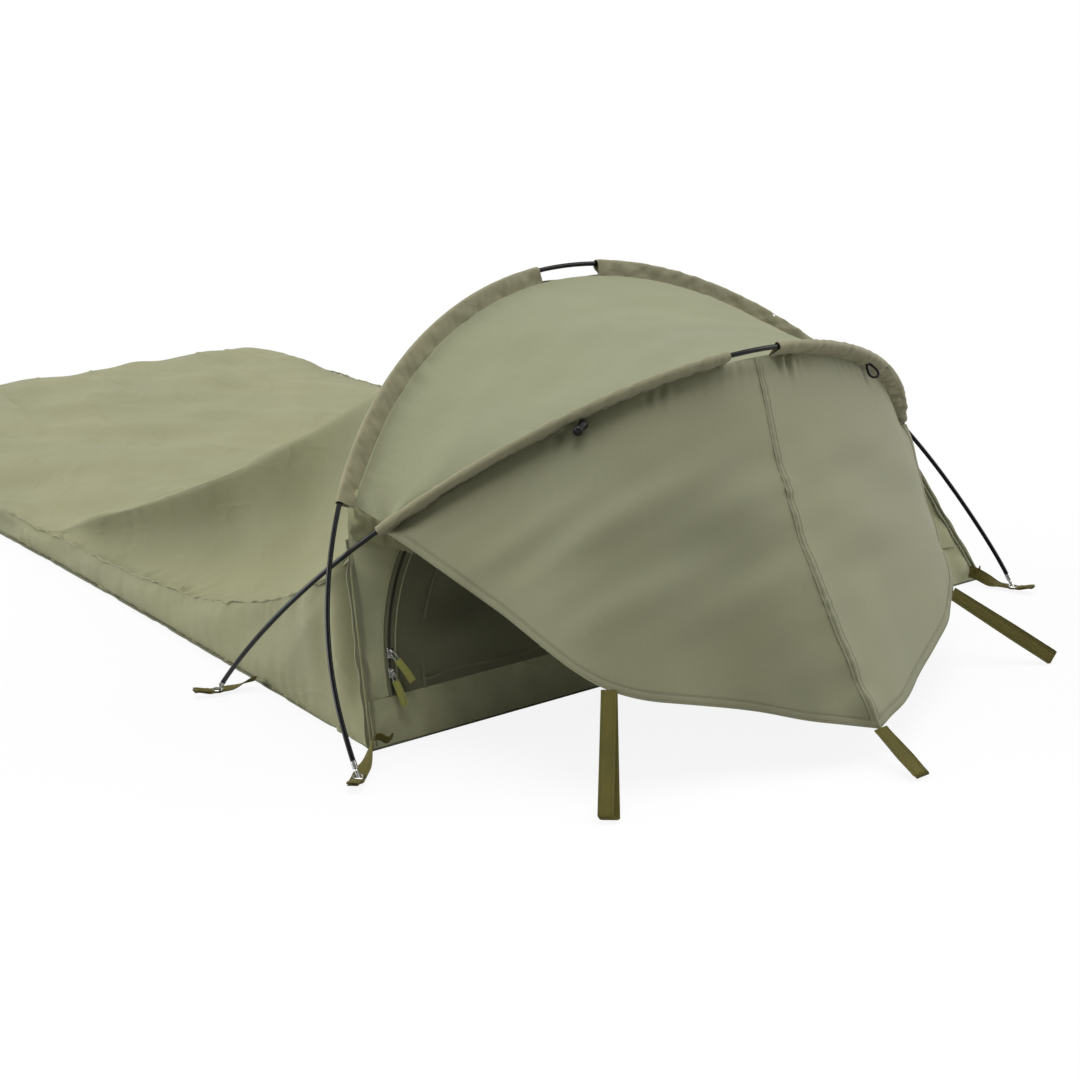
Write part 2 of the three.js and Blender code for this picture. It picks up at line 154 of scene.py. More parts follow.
@dataclass(frozen=True)
class Ripple:
    """Smooth unevenness of cloth: a sum of waves in repeatable directions."""

    seed: int
    length: float
    stretch: float = 1.0
    waves: int = 11

    def __call__(self, a: Array, b: Array) -> Array:
        """The unevenness, about -1 to 1, at distances a and b over the cloth."""
        chance = np.random.default_rng(self.seed)
        total = np.zeros(np.broadcast(a, b).shape)
        for _ in range(self.waves):
            turn = chance.uniform(0, math.tau)
            size = self.length * chance.uniform(0.55, 1.7)
            phase = chance.uniform(0, math.tau)
            run = a * math.cos(turn) + b * math.sin(turn) / self.stretch
            total = total + np.sin(run * math.tau / size + phase)
        return total / math.sqrt(self.waves / 2)

    def crease(self, a: Array, b: Array, sharp: float = 0.16) -> Array:
        """Thin raised lines, 0 to 1, where the unevenness passes through zero."""
        return np.exp(-((self(a, b) / sharp) ** 2))


def gathers(seed: int, along: Array, away: Array, pitch: float, reach: float) -> Array:
    """Folds that start at a seam and die away from it.

    Args:
        seed: picks the pattern.
        along: distance along the seam.
        away: distance from the seam.
        pitch: usual distance between folds.
        reach: how far the folds run.

    Returns:
        Fold height, about -1 to 1.
    """
    fold = Ripple(seed, pitch, 6.0)(along, away)
    strength = 0.55 + 0.45 * Ripple(seed + 7, pitch * 6)(along, along * 0)
    return fold * strength * np.exp(-((np.maximum(away, 0) / reach) ** 1.2))


@dataclass(frozen=True)
class Hoop:
    """A bent pole, from its left foot at 0 degrees to its right foot at 180."""

    span: float
    span_round: float
    rise: float
    rise_round: float
    foot_y: float
    lean: float
    flare: float
    kick: float
    middle: float = -0.036
    flare_power: int = 40
    kick_power: int = 24

    def point(self, degrees: Array) -> Array:
        """Points on the pole's centreline, in bag coordinates."""
        t = np.radians(degrees)
        x = -(self.span * np.cos(t) + self.span_round * np.cos(3 * t))
        z = self.rise * np.sin(t) + self.rise_round * np.sin(3 * t)
        flare = self.flare * ((1 - np.cos(t)) / 2) ** self.flare_power
        kick = self.kick * np.cos(t) ** self.kick_power
        return vec(self.middle + x + flare, self.foot_y + self.lean * z - kick, z)

    def run(self, degrees: Array) -> Array:
        """Unit direction along the pole."""
        return unit(self.point(np.asarray(degrees) + 0.4) - self.point(np.asarray(degrees) - 0.4))

    def inward(self, degrees: Array) -> Array:
        """Unit direction from the pole towards the inside of the arch, in its plane."""
        run = self.run(degrees)
        face = unit(np.array([0.0, -1.0, self.lean]))
        inside = unit(np.cross(run, face))
        return inside * -np.sign(inside[..., 2:3] + 1e-9)

    def along(self, degrees: float, length: float) -> float:
        """The angle reached from another one by going a length along the pole."""
        speed = float(np.linalg.norm(self.point(degrees + 0.5) - self.point(degrees - 0.5)))
        return degrees + length / speed

    def angle_at(self, height: float, side: Side = Side.LEFT) -> float:
        """The angle at which a leg reaches a height."""
        angles = np.linspace(0, 60, 2401)
        found = float(np.interp(height, self.point(angles)[:, 2], angles))
        return found if side is Side.LEFT else 180 - found


REAR_HOOP = Hoop(0.5642 * BAG_WIDTH, -0.0375 * BAG_WIDTH, 0.504, -0.0576, -0.0635, 0.6476, 0.0, 0.016)
FRONT_HOOP = Hoop(0.4833 * BAG_WIDTH, 0.035 * BAG_WIDTH, 0.518, 0.0227, 0.344, -0.994, 0.07, 0.009)
REAR_SLEEVES = (44.0, 86.0, 94.0, 136.0)
FRONT_SLEEVES = (30.0, 82.0, 93.0, 150.0)


def smooth_line(stops: Array, shares: Array) -> Array:
    """A rounded line through stops, the same way the awning's hem is drawn in the frame.

    Args:
        stops: points that the line passes through.
        shares: 0 to 1 along the line.

    Returns:
        Points on a centripetal spline.
    """
    padded = np.vstack([2 * stops[0] - stops[1], stops, 2 * stops[-1] - stops[-2]])
    place = np.clip(shares, 0, 1) * (len(stops) - 1)
    first = np.minimum(place.astype(int), len(stops) - 2)
    share = (place - first)[..., None]
    p0, p1, p2, p3 = (padded[first + k] for k in range(4))
    spans = ((p0, p1), (p1, p2), (p2, p3))
    d0, d1, d2 = (np.sqrt(np.linalg.norm(b - a, axis=-1, keepdims=True)) for a, b in spans)
    t1 = ((p1 - p0) / d0 - (p2 - p0) / (d0 + d1) + (p2 - p1) / d1) * d1
    t2 = ((p2 - p1) / d1 - (p3 - p1) / (d1 + d2) + (p3 - p2) / d2) * d1
    c2 = -3 * p1 + 3 * p2 - 2 * t1 - t2
    c3 = 2 * p1 - 2 * p2 + t1 + t2
    return p1 + t1 * share + c2 * share**2 + c3 * share**3


# ---------------------------------------------------------------- shader node groups


@dataclass
class Wiring:
    """Adds and joins the nodes of one material or node group."""

    tree: bpy.types.NodeTree

    def add(self, kind: str, **values: object) -> Node:
        """Adds a node and sets its properties."""
        node = self.tree.nodes.new(kind)
        for name, value in values.items():
            setattr(node, name, value)
        return node

    def feed(self, socket: Socket, value: object) -> None:
        """Joins a socket to another one, or sets it to a plain value."""
        if isinstance(value, bpy.types.NodeSocket):
            self.tree.links.new(value, socket)
        else:
            socket.default_value = value

    def math(self, operation: str, *values: object, clamp: bool = False) -> Socket:
        """Adds a Math node and returns its result."""
        node = self.add("ShaderNodeMath", operation=operation, use_clamp=clamp)
        for socket, value in zip(node.inputs, values):
            self.feed(socket, value)
        return node.outputs[0]

    def span(self, value: Socket, low: float, high: float, to_low: float, to_high: float) -> Socket:
        """Maps a number from one range onto another."""
        node = self.add("ShaderNodeMapRange")
        for socket, number in zip(node.inputs, (value, low, high, to_low, to_high)):
            self.feed(socket, number)
        return node.outputs[0]

    def noise(self, vector: Socket, scale: object, detail: float, roughness: float = 0.55) -> Socket:
        """Adds a Noise Texture and returns its strength."""
        node = self.add("ShaderNodeTexNoise")
        self.feed(node.inputs["Vector"], vector)
        self.feed(node.inputs["Scale"], scale)
        self.feed(node.inputs["Detail"], detail)
        self.feed(node.inputs["Roughness"], roughness)
        return node.outputs["Fac"]

    def blend(self, share: object, first: object, second: object) -> Socket:
        """Mixes two colours."""
        node = self.add("ShaderNodeMix", data_type="RGBA")
        self.feed(node.inputs[0], share)
        self.feed(node.inputs[6], first)
        self.feed(node.inputs[7], second)
        return node.outputs[2]


class Effects:
    """The shared surface effects, each a node group that is built once."""

    def __init__(self) -> None:
        """Builds every group."""
        self.weave = self._weave()
        self.mottle = self._mottle()
        self.creases = self._creases()
        self.stitches = self._stitches()
        self.wear = self._wear()

    @staticmethod
    def _begin(name: str, inputs: dict[str, float], outputs: tuple[str, ...]) -> tuple[Wiring, Node, Node]:
        """Starts a group with a vector input, number inputs and number outputs."""
        tree = bpy.data.node_groups.new(name, "ShaderNodeTree")
        tree.interface.new_socket(name="Vector", in_out="INPUT", socket_type="NodeSocketVector")
        for label, value in inputs.items():
            socket = tree.interface.new_socket(name=label, in_out="INPUT", socket_type="NodeSocketFloat")
            socket.default_value = value
        for label in outputs:
            tree.interface.new_socket(name=label, in_out="OUTPUT", socket_type="NodeSocketFloat")
        wiring = Wiring(tree)
        return wiring, wiring.add("NodeGroupInput"), wiring.add("NodeGroupOutput")

    def _weave(self) -> bpy.types.NodeTree:
        """Crossing threads at a set pitch, as a height and a gap mask."""
        w, source, sink = self._begin("woven_threads", {"Pitch": 0.0006}, ("Height", "Gap"))
        parts = w.add("ShaderNodeSeparateXYZ")
        w.feed(parts.inputs[0], source.outputs["Vector"])
        turn = w.math("DIVIDE", math.tau, source.outputs["Pitch"])
        across = w.math("SINE", w.math("MULTIPLY", parts.outputs[0], turn))
        down = w.math("SINE", w.math("MULTIPLY", parts.outputs[1], turn))
        cross = w.math("MULTIPLY", across, down)
        w.feed(sink.inputs["Height"], w.span(cross, -1, 1, 0, 1))
        gap = w.math("MULTIPLY", w.math("ABSOLUTE", across), w.math("ABSOLUTE", down))
        w.feed(sink.inputs["Gap"], w.span(gap, 0, 0.35, 1, 0))
        return w.tree

    def _mottle(self) -> bpy.types.NodeTree:
        """Uneven dye: broad soft patches and fine flecks together."""
        w, source, sink = self._begin("dye_mottle", {"Patch Size": 0.2, "Fleck Size": 0.004}, ("Fac",))
        patches = w.noise(source.outputs["Vector"], w.math("DIVIDE", 1.0, source.outputs["Patch Size"]), 3.0)
        flecks = w.noise(source.outputs["Vector"], w.math("DIVIDE", 1.0, source.outputs["Fleck Size"]), 2.0)
        total = w.math("ADD", w.math("MULTIPLY", patches, 0.7), w.math("MULTIPLY", flecks, 0.3))
        w.feed(sink.inputs["Fac"], w.span(total, 0.32, 0.68, 0, 1))
        return w.tree

    def _creases(self) -> bpy.types.NodeTree:
        """Soft packing creases: stretched ridges at two sizes."""
        w, source, sink = self._begin("packing_creases", {"Size": 0.12, "Stretch": 3.0}, ("Height",))
        turned = w.add("ShaderNodeMapping")
        turned.inputs["Rotation"].default_value = (0.0, 0.0, 0.6)
        w.feed(turned.inputs["Vector"], source.outputs["Vector"])
        parts = w.add("ShaderNodeSeparateXYZ")
        w.feed(parts.inputs[0], turned.outputs[0])
        joined = w.add("ShaderNodeCombineXYZ")
        w.feed(joined.inputs[0], parts.outputs[0])
        w.feed(joined.inputs[1], w.math("DIVIDE", parts.outputs[1], source.outputs["Stretch"]))
        w.feed(joined.inputs[2], parts.outputs[2])
        scale = w.math("DIVIDE", 1.0, source.outputs["Size"])
        broad = w.noise(joined.outputs[0], scale, 2.0)
        apart = w.math("ABSOLUTE", w.math("SUBTRACT", broad, 0.5))
        ridge = w.math("SUBTRACT", 1.0, w.math("MULTIPLY", apart, 7.0), clamp=True)
        small = w.noise(joined.outputs[0], w.math("MULTIPLY", scale, 3.7), 3.0)
        total = w.math("ADD", w.math("MULTIPLY", w.math("POWER", ridge, 3.0), 0.45), small)
        w.feed(sink.inputs["Height"], total)
        return w.tree

    def _stitches(self) -> bpy.types.NodeTree:
        """Rows of running stitch beside both edges of a band, whose length is X and width is Y."""
        inputs = {"Band": 0.014, "Inset": 0.0025, "Stitch": 0.0034, "Thread": 0.0008}
        w, source, sink = self._begin("running_stitch", inputs, ("Mask", "Height"))
        parts = w.add("ShaderNodeSeparateXYZ")
        w.feed(parts.inputs[0], source.outputs["Vector"])
        far = w.math("SUBTRACT", source.outputs["Band"], parts.outputs[1])
        edge = w.math("MINIMUM", parts.outputs[1], far)
        off = w.math("ABSOLUTE", w.math("SUBTRACT", edge, source.outputs["Inset"]))
        near = w.math("SUBTRACT", 1.0, w.math("DIVIDE", off, source.outputs["Thread"]), clamp=True)
        step = w.math("FRACT", w.math("DIVIDE", parts.outputs[0], source.outputs["Stitch"]))
        on = w.math("LESS_THAN", step, 0.7)
        mask = w.math("MULTIPLY", near, on)
        wide = w.math("MULTIPLY", source.outputs["Thread"], 3.0)
        groove = w.math("SUBTRACT", 1.0, w.math("DIVIDE", off, wide), clamp=True)
        w.feed(sink.inputs["Mask"], mask)
        w.feed(sink.inputs["Height"], w.math("SUBTRACT", mask, groove))
        return w.tree

    def _wear(self) -> bpy.types.NodeTree:
        """Scuffs and handling marks, as a mask that is mostly empty."""
        w, source, sink = self._begin("handling_wear", {"Size": 0.01, "Amount": 0.3}, ("Mask",))
        scale = w.math("DIVIDE", 1.0, source.outputs["Size"])
        marks = w.noise(source.outputs["Vector"], scale, 5.0, 0.7)
        low = w.math("SUBTRACT", 0.72, w.math("MULTIPLY", source.outputs["Amount"], 0.3))
        w.feed(sink.inputs["Mask"], w.math("MULTIPLY", w.math("SUBTRACT", marks, low), 6.0, clamp=True))
        return w.tree


def linear(red: int, green: int, blue: int) -> tuple[float, float, float, float]:
    """A screen colour, 0 to 255, as the light it stands for."""
    values = [c / 255 for c in (red, green, blue)]
    light = [v / 12.92 if v <= 0.04045 else ((v + 0.055) / 1.055) ** 2.4 for v in values]
    return (light[0], light[1], light[2], 1.0)


def shade(colour: tuple[float, ...], factor: float) -> tuple[float, float, float, float]:
    """A colour made lighter or darker."""
    return (colour[0] * factor, colour[1] * factor, colour[2] * factor, 1.0)


@dataclass(frozen=True)
class Cloth:
    """A woven cloth finish: dye, weave with painted shade in its gaps, creases and an optional row of
    stitching.
    """

    name: str
    slot: str
    colour: tuple[float, float, float, float]
    spread: float = 0.055
    roughness: float = 0.72
    sheen: float = 0.12
    pitch: float = 0.0009
    weave_depth: float = 0.00012
    crease_size: float = 0.11
    crease_depth: float = 0.0016
    patch: float = 0.22
    band: float = 0.0
    inset: float = 0.0025
    coordinates: Coordinates = Coordinates.SEWN

    def material(self, effects: Effects) -> bpy.types.Material:
        """Builds the finish.

        Args:
            effects: the shared node groups.

        Returns:
            The material.
        """
        made = bpy.data.materials.new(self.name)
        made.use_nodes = True
        w = Wiring(made.node_tree)
        surface = made.node_tree.nodes["Principled BSDF"]
        place = w.add("ShaderNodeTexCoord").outputs[self.coordinates.value]
        solid = w.add("ShaderNodeTexCoord").outputs[Coordinates.SOLID.value]

        mottle = self._group(w, effects.mottle, solid, {"Patch Size": self.patch, "Fleck Size": 0.006})
        weave = self._group(w, effects.weave, place, {"Pitch": self.pitch})
        crease = self._group(w, effects.creases, solid, {"Size": self.crease_size})
        red, green, blue, _ = shade(self.colour, 1 + self.spread)
        darker = shade(self.colour, 1 - self.spread)
        colour = w.blend(mottle.outputs["Fac"], darker, (red * 1.03, green, blue * 0.97, 1.0))
        # Painted shade: the gaps between threads are darkened.
        colour = w.blend(w.math("MULTIPLY", weave.outputs["Gap"], 0.12), colour, shade(self.colour, 0.55))
        height = w.math("ADD", w.math("MULTIPLY", weave.outputs["Height"], self.weave_depth),
                        w.math("MULTIPLY", crease.outputs["Height"], self.crease_depth))
        if self.band:
            stitch = self._group(w, effects.stitches, place, {"Band": self.band, "Inset": self.inset})
            colour = w.blend(w.math("MULTIPLY", stitch.outputs["Mask"], 0.6), colour, shade(self.colour, 0.5))
            height = w.math("ADD", height, w.math("MULTIPLY", stitch.outputs["Height"], 0.0007))
        bump = w.add("ShaderNodeBump")
        bump.inputs["Strength"].default_value = 0.9
        bump.inputs["Distance"].default_value = 1.0
        w.feed(bump.inputs["Height"], height)
        w.feed(surface.inputs["Base Color"], colour)
        w.feed(surface.inputs["Roughness"],
               w.span(mottle.outputs["Fac"], 0, 1, self.roughness - 0.05, self.roughness + 0.05))
        w.feed(surface.inputs["Normal"], bump.outputs[0])
        surface.inputs["Sheen Weight"].default_value = self.sheen
        surface.inputs["Sheen Roughness"].default_value = 0.5
        surface.inputs["Specular IOR Level"].default_value = 0.3
        return made

    @staticmethod
    def _group(w: Wiring, tree: bpy.types.NodeTree, vector: Socket, values: dict[str, float]) -> Node:
        """Places a shared effect with its own values."""
        node = w.add("ShaderNodeGroup", node_tree=tree)
        w.feed(node.inputs["Vector"], vector)
        for name, value in values.items():
            w.feed(node.inputs[name], value)
        return node


@dataclass(frozen=True)
class Hard:
    """A moulded, drawn or plated finish with light handling marks."""

    name: str
    slot: str
    colour: tuple[float, float, float, float]
    roughness: float
    metallic: float = 0.0
    coat: float = 0.0
    wear: float = 0.3
    grain: float = 0.004
    gloss: float = 0.5

    def material(self, effects: Effects) -> bpy.types.Material:
        """Builds the finish.

        Args:
            effects: the shared node groups.

        Returns:
            The material.
        """
        made = bpy.data.materials.new(self.name)
        made.use_nodes = True
        w = Wiring(made.node_tree)
        surface = made.node_tree.nodes["Principled BSDF"]
        solid = w.add("ShaderNodeTexCoord").outputs[Coordinates.SOLID.value]
        marks = w.add("ShaderNodeGroup", node_tree=effects.wear)
        w.feed(marks.inputs["Vector"], solid)
        w.feed(marks.inputs["Size"], self.grain)
        w.feed(marks.inputs["Amount"], self.wear)
        mask = marks.outputs["Mask"]
        lighter = tuple(min(1.0, c * 1.25 + 0.012) for c in self.colour[:3]) + (1.0,)
        w.feed(surface.inputs["Base Color"], w.blend(w.math("MULTIPLY", mask, 0.6), self.colour, lighter))
        worn = min(1.0, self.roughness + 0.18)
        w.feed(surface.inputs["Roughness"], w.span(mask, 0, 1, self.roughness, worn))
        bump = w.add("ShaderNodeBump")
        bump.inputs["Strength"].default_value = 0.4
        bump.inputs["Distance"].default_value = 0.0003
        w.feed(bump.inputs["Height"], w.noise(solid, 1 / self.grain, 3.0))
        w.feed(surface.inputs["Normal"], bump.outputs[0])
        surface.inputs["Metallic"].default_value = self.metallic
        surface.inputs["Specular IOR Level"].default_value = self.gloss
        surface.inputs["Coat Weight"].default_value = self.coat
        surface.inputs["Coat Roughness"].default_value = 0.12
        return made


CANOPY_CLOTH = Cloth("canopy_cloth", "canopy", linear(134, 137, 108), roughness=0.66, sheen=0.1,
                     crease_depth=0.0012)
AWNING_CLOTH = Cloth("awning_cloth", "canopy", linear(126, 127, 100), roughness=0.66, sheen=0.1,
                     crease_size=0.12, crease_depth=0.0004)
HEM_CLOTH = Cloth("awning_hem_cloth", "tape", linear(122, 123, 97), band=0.014, crease_size=0.05,
                  crease_depth=0.0006)
BAG_CLOTH = Cloth("bag_cloth", "bag", linear(131, 132, 99), roughness=0.7, crease_size=0.13,
                  crease_depth=0.0022)
# Painted light: the head wall, door sill and zip welts take a lighter copy of the bag's cloth, standing in
# for light falling on the head end.
PAINTED_LIGHT_WALL_CLOTH = Cloth("head_wall_painted_light", "bag", linear(160, 162, 128), roughness=0.7, crease_size=0.09)
# Painted shade: the door takes a darker copy of the cloth, standing in for the shade under the awning.
PAINTED_SHADE_DOOR_CLOTH = Cloth("door_cloth", "door", linear(104, 105, 80), crease_size=0.09)
FLOOR_CLOTH = Cloth("floor_cloth", "floor", linear(104, 106, 80), roughness=0.6, pitch=0.0012)
TAPE_CLOTH = Cloth("tape_cloth", "tape", linear(121, 122, 95), band=0.014, crease_size=0.05,
                   crease_depth=0.0008)
SLEEVE_CLOTH = Cloth("sleeve_cloth", "tape", linear(133, 131, 103), crease_size=0.05, crease_depth=0.0012)
WEBBING = Cloth("webbing", "webbing", linear(88, 83, 33), roughness=0.9, sheen=0.04, pitch=0.0026,
                weave_depth=0.0006, crease_depth=0.0002, spread=0.12, patch=0.05, band=0.02, inset=0.003)
RIBBON = Cloth("pull_ribbon", "pull_tab", linear(158, 160, 84), pitch=0.0016, weave_depth=0.0004,
               crease_depth=0.0002, spread=0.1, patch=0.02, band=0.01, inset=0.002)
ZIP_TAPE = Cloth("zip_tape", "zipper", linear(112, 113, 88), pitch=0.0012, weave_depth=0.0003,
                 crease_depth=0.0003)
ZIP_COIL = Hard("zip_coil", "zipper", linear(52, 53, 42), 0.4, wear=0.5)
POLE_GLOSS = Hard("pole_gloss", "pole", linear(9, 9, 10), 0.26, coat=0.0, wear=0.1, grain=0.02, gloss=0.3)
PLATED = Hard("nickel_plate", "metal", (0.6, 0.6, 0.58, 1.0), 0.24, metallic=1.0, wear=0.5)
BLACK_PLASTIC = Hard("black_plastic", "black_plastic", linear(12, 12, 13), 0.4, wear=0.3, gloss=0.25)


class Wardrobe:
    """Keeps one material for each finish."""

    def __init__(self) -> None:
        """Builds the shared effects."""
        self.effects = Effects()
        self.made: dict[str, bpy.types.Material] = {}

    def get(self, finish: Cloth | Hard) -> bpy.types.Material:
        """The material of a finish, built the first time it is asked for."""
        if finish.name not in self.made:
            self.made[finish.name] = finish.material(self.effects)
        return self.made[finish.name]


# ---------------------------------------------------------------- mesh making


@dataclass
class Workroom:
    """Turns grids, lines and profiles into meshes, dresses them and fits them to the frame."""

    wardrobe: Wardrobe
    count: int = 0
    sizes: dict[str, tuple[float, float, float]] = field(default_factory=dict)

    def solid(self, name: str, points: Array, faces: list, uv: Array, finish: Cloth | Hard) -> Object:
        """Makes an object from points in bag coordinates, with one UV pair for each point."""
        mesh = bpy.data.meshes.new(name)
        mesh.from_pydata((points + np.array([0, HEAD_EDGE, 0])).tolist(), [], faces)
        layer = mesh.uv_layers.new(name="UVMap")
        corners = np.empty(len(mesh.loops), np.int32)
        mesh.loops.foreach_get("vertex_index", corners)
        layer.data.foreach_set("uv", uv[corners].astype(np.float32).ravel())
        mesh.shade_smooth()
        mesh.set_sharp_from_angle(angle=math.radians(50))
        mesh.materials.append(self.wardrobe.get(finish))
        made = bpy.data.objects.new(name, mesh)
        bpy.context.scene.collection.objects.link(made)
        return made

    def sheet(self, name: str, grid: Array, thickness: float, finish: Cloth | Hard) -> Object:
        """A closed sheet of even thickness.

        Args:
            name: the piece's name.
            grid: points of its middle surface.
            thickness: how thick it is.
            finish: what it is made of.

        Returns:
            The piece.
        """
        across, down = grid.shape[:2]
        out = normals_of(grid) * thickness / 2
        points = np.concatenate([(grid + out).reshape(-1, 3), (grid - out).reshape(-1, 3)])
        ids = np.arange(across * down).reshape(across, down)
        a, b, c, d = ids[:-1, :-1], ids[1:, :-1], ids[1:, 1:], ids[:-1, 1:]
        front = np.stack([a, b, c, d], -1).reshape(-1, 4)
        back = np.stack([a, d, c, b], -1).reshape(-1, 4) + across * down
        rim = np.concatenate([ids[:, 0], ids[-1, 1:], ids[-2::-1, -1], ids[0, -2:0:-1]])
        after = np.roll(rim, -1)
        edge = np.stack([rim, rim + across * down, after + across * down, after], -1)
        run_u = np.linalg.norm(np.diff(grid, axis=0), axis=-1)
        run_v = np.linalg.norm(np.diff(grid, axis=1), axis=-1)
        u = np.concatenate([[0], np.cumsum(run_u.mean(axis=1))])
        v = np.concatenate([[0], np.cumsum(run_v.mean(axis=0))])
        uv = np.stack(np.meshgrid(u, v, indexing="ij"), -1).reshape(-1, 2)
        step_u, step_v = grid[1:, :-1] - grid[:-1, :-1], grid[:-1, 1:] - grid[:-1, :-1]
        area = float(np.linalg.norm(np.cross(step_u, step_v), axis=-1).sum())
        self.sizes[name] = (float(run_u.sum(axis=0).max()), float(run_v.sum(axis=1).max()), area)
        faces = np.concatenate([front, back, edge]).tolist()
        return self.solid(name, points, faces, np.concatenate([uv, uv]), finish)

    def ribbon(self, name: str, line: Array, side: Array, width: Array, thickness: float,
               finish: Cloth | Hard, crown: float = 0.0) -> Object:
        """A band along a line, whose length is its UV's X and whose width is Y.

        Args:
            name: the piece's name.
            line: points along its middle.
            side: direction across it at each point.
            width: its width, or one for each point.
            thickness: how thick it is.
            finish: what it is made of.
            crown: how far its middle stands out.

        Returns:
            The piece.
        """
        share = np.linspace(-0.5, 0.5, 7)
        wide = np.broadcast_to(np.asarray(width, float), len(line))[:, None, None]
        grid = line[:, None] + unit(side)[:, None] * share[None, :, None] * wide
        return self.sheet(name, raised(grid, crown * (1 - (2 * share) ** 2)[None] * np.ones((len(line), 1))),
                          thickness, finish)

    def rod(self, name: str, line: Array, radius: Array, finish: Cloth | Hard, sides: int = 20,
            closed: bool = False) -> Object:
        """A round bar or cord along a line.

        Args:
            name: the piece's name.
            line: points along its centre.
            radius: its radius, or one for each point.
            finish: what it is made of.
            sides: how many sides its section has.
            closed: whether its ends meet.

        Returns:
            The piece.
        """
        count = len(line)
        run = unit(np.roll(line, -1, 0) - np.roll(line, 1, 0)) if closed else unit(np.gradient(line, axis=0))
        first = np.cross(run[0], [0, 0, 1]) if abs(run[0][2]) < 0.9 else np.cross(run[0], [0, 1, 0])
        out = [first / np.linalg.norm(first)]
        for k in range(1, count):
            turned = out[-1] - run[k] * np.dot(out[-1], run[k])
            out.append(turned / np.linalg.norm(turned))
        out = np.array(out)
        other = np.cross(run, out)
        angle = np.linspace(0, math.tau, sides, endpoint=False)
        wide = np.broadcast_to(np.asarray(radius, float), count)[:, None, None]
        ring = out[:, None] * np.cos(angle)[None, :, None] + other[:, None] * np.sin(angle)[None, :, None]
        points = (line[:, None] + ring * wide).reshape(-1, 3)
        faces = []
        for k in range(count if closed else count - 1):
            after = (k + 1) % count
            for s in range(sides):
                t = (s + 1) % sides
                faces.append([k * sides + s, k * sides + t, after * sides + t, after * sides + s])
        if not closed:
            faces.append(list(range(sides))[::-1])
            faces.append([(count - 1) * sides + s for s in range(sides)])
        length = np.concatenate([[0], np.cumsum(np.linalg.norm(np.diff(line, axis=0), axis=-1))])
        uv = np.stack([np.repeat(length, sides), np.tile(angle * float(np.mean(wide)), count)], -1)
        return self.solid(name, points, faces, uv, finish)

    def turned(self, name: str, profile: list[tuple[float, float]], centre: Array, axis: Array,
               finish: Cloth | Hard, segments: int = 36) -> Object:
        """A closed ring or knob turned round an axis.

        Args:
            name: the piece's name.
            profile: radius and height of each point of its closed outline.
            centre: where it stands.
            axis: the direction of its height.
            finish: what it is made of.
            segments: how many steps it is turned in.

        Returns:
            The piece.
        """
        aim = Vector(unit(np.asarray(axis, float)))
        turn = np.array(Vector((0, 0, 1)).rotation_difference(aim).to_matrix())
        angle = np.linspace(0, math.tau, segments, endpoint=False)
        shape = np.array(profile)
        ring = vec(shape[None, :, 0] * np.cos(angle)[:, None], shape[None, :, 0] * np.sin(angle)[:, None],
                   shape[None, :, 1] + 0 * angle[:, None])
        points = ring.reshape(-1, 3) @ turn.T + np.asarray(centre)
        faces = []
        count = len(profile)
        for k in range(segments):
            for p in range(count):
                q = (p + 1) % count
                n = (k + 1) % segments
                faces.append([k * count + p, n * count + p, n * count + q, k * count + q])
        uv = np.stack([np.repeat(angle, count) * 0.01, np.tile(shape[:, 1], segments)], -1)
        return self.solid(name, points, faces, uv, finish)

    def block(self, name: str, centre: Array, axes: Array, size: tuple[float, float, float], bevel: float,
              finish: Cloth | Hard) -> Object:
        """A small block with rounded edges, its sides along three given directions."""
        shape = bmesh.new()
        bmesh.ops.create_cube(shape, size=1.0)
        for vertex in shape.verts:
            vertex.co = Vector([c * s for c, s in zip(vertex.co, size)])
        bmesh.ops.bevel(shape, geom=shape.edges[:], offset=bevel, segments=3, profile=0.6, affect="EDGES")
        turn = np.array(axes)
        points = np.array([v.co for v in shape.verts]) @ turn + np.asarray(centre)
        faces = [[v.index for v in f.verts] for f in shape.faces]
        flat = np.array([v.co for v in shape.verts])[:, :2]
        shape.free()
        return self.solid(name, points, faces, flat, finish)

    def fit(self, piece: Object, body: str, *nodes: str) -> Object:
        """Fixes a piece to a body and lets it stand for CAD nodes."""
        if nodes:
            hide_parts(*nodes)
        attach(piece, body)
        self.report(piece, body)
        return piece

    def report(self, piece: Object, body: str) -> None:
        """Logs a finished piece."""
        self.count += 1
        log.info("%s on %s: %d faces", piece.name, body, len(piece.data.polygons))

    def declare(self, piece: Object, held: str, rests_on: list[str],
                with_pieces: list[Object] | None = None) -> None:
        """Logs a sheet's measured cut size and area."""
        width, length, area = self.sizes[piece.name]
        area = min(max(area, 0.31 * width * length), width * length)
        log.info("%s is cut %.3f by %.3f m, %.3f square metres", piece.name, width, length, area)


# ---------------------------------------------------------------- the bag


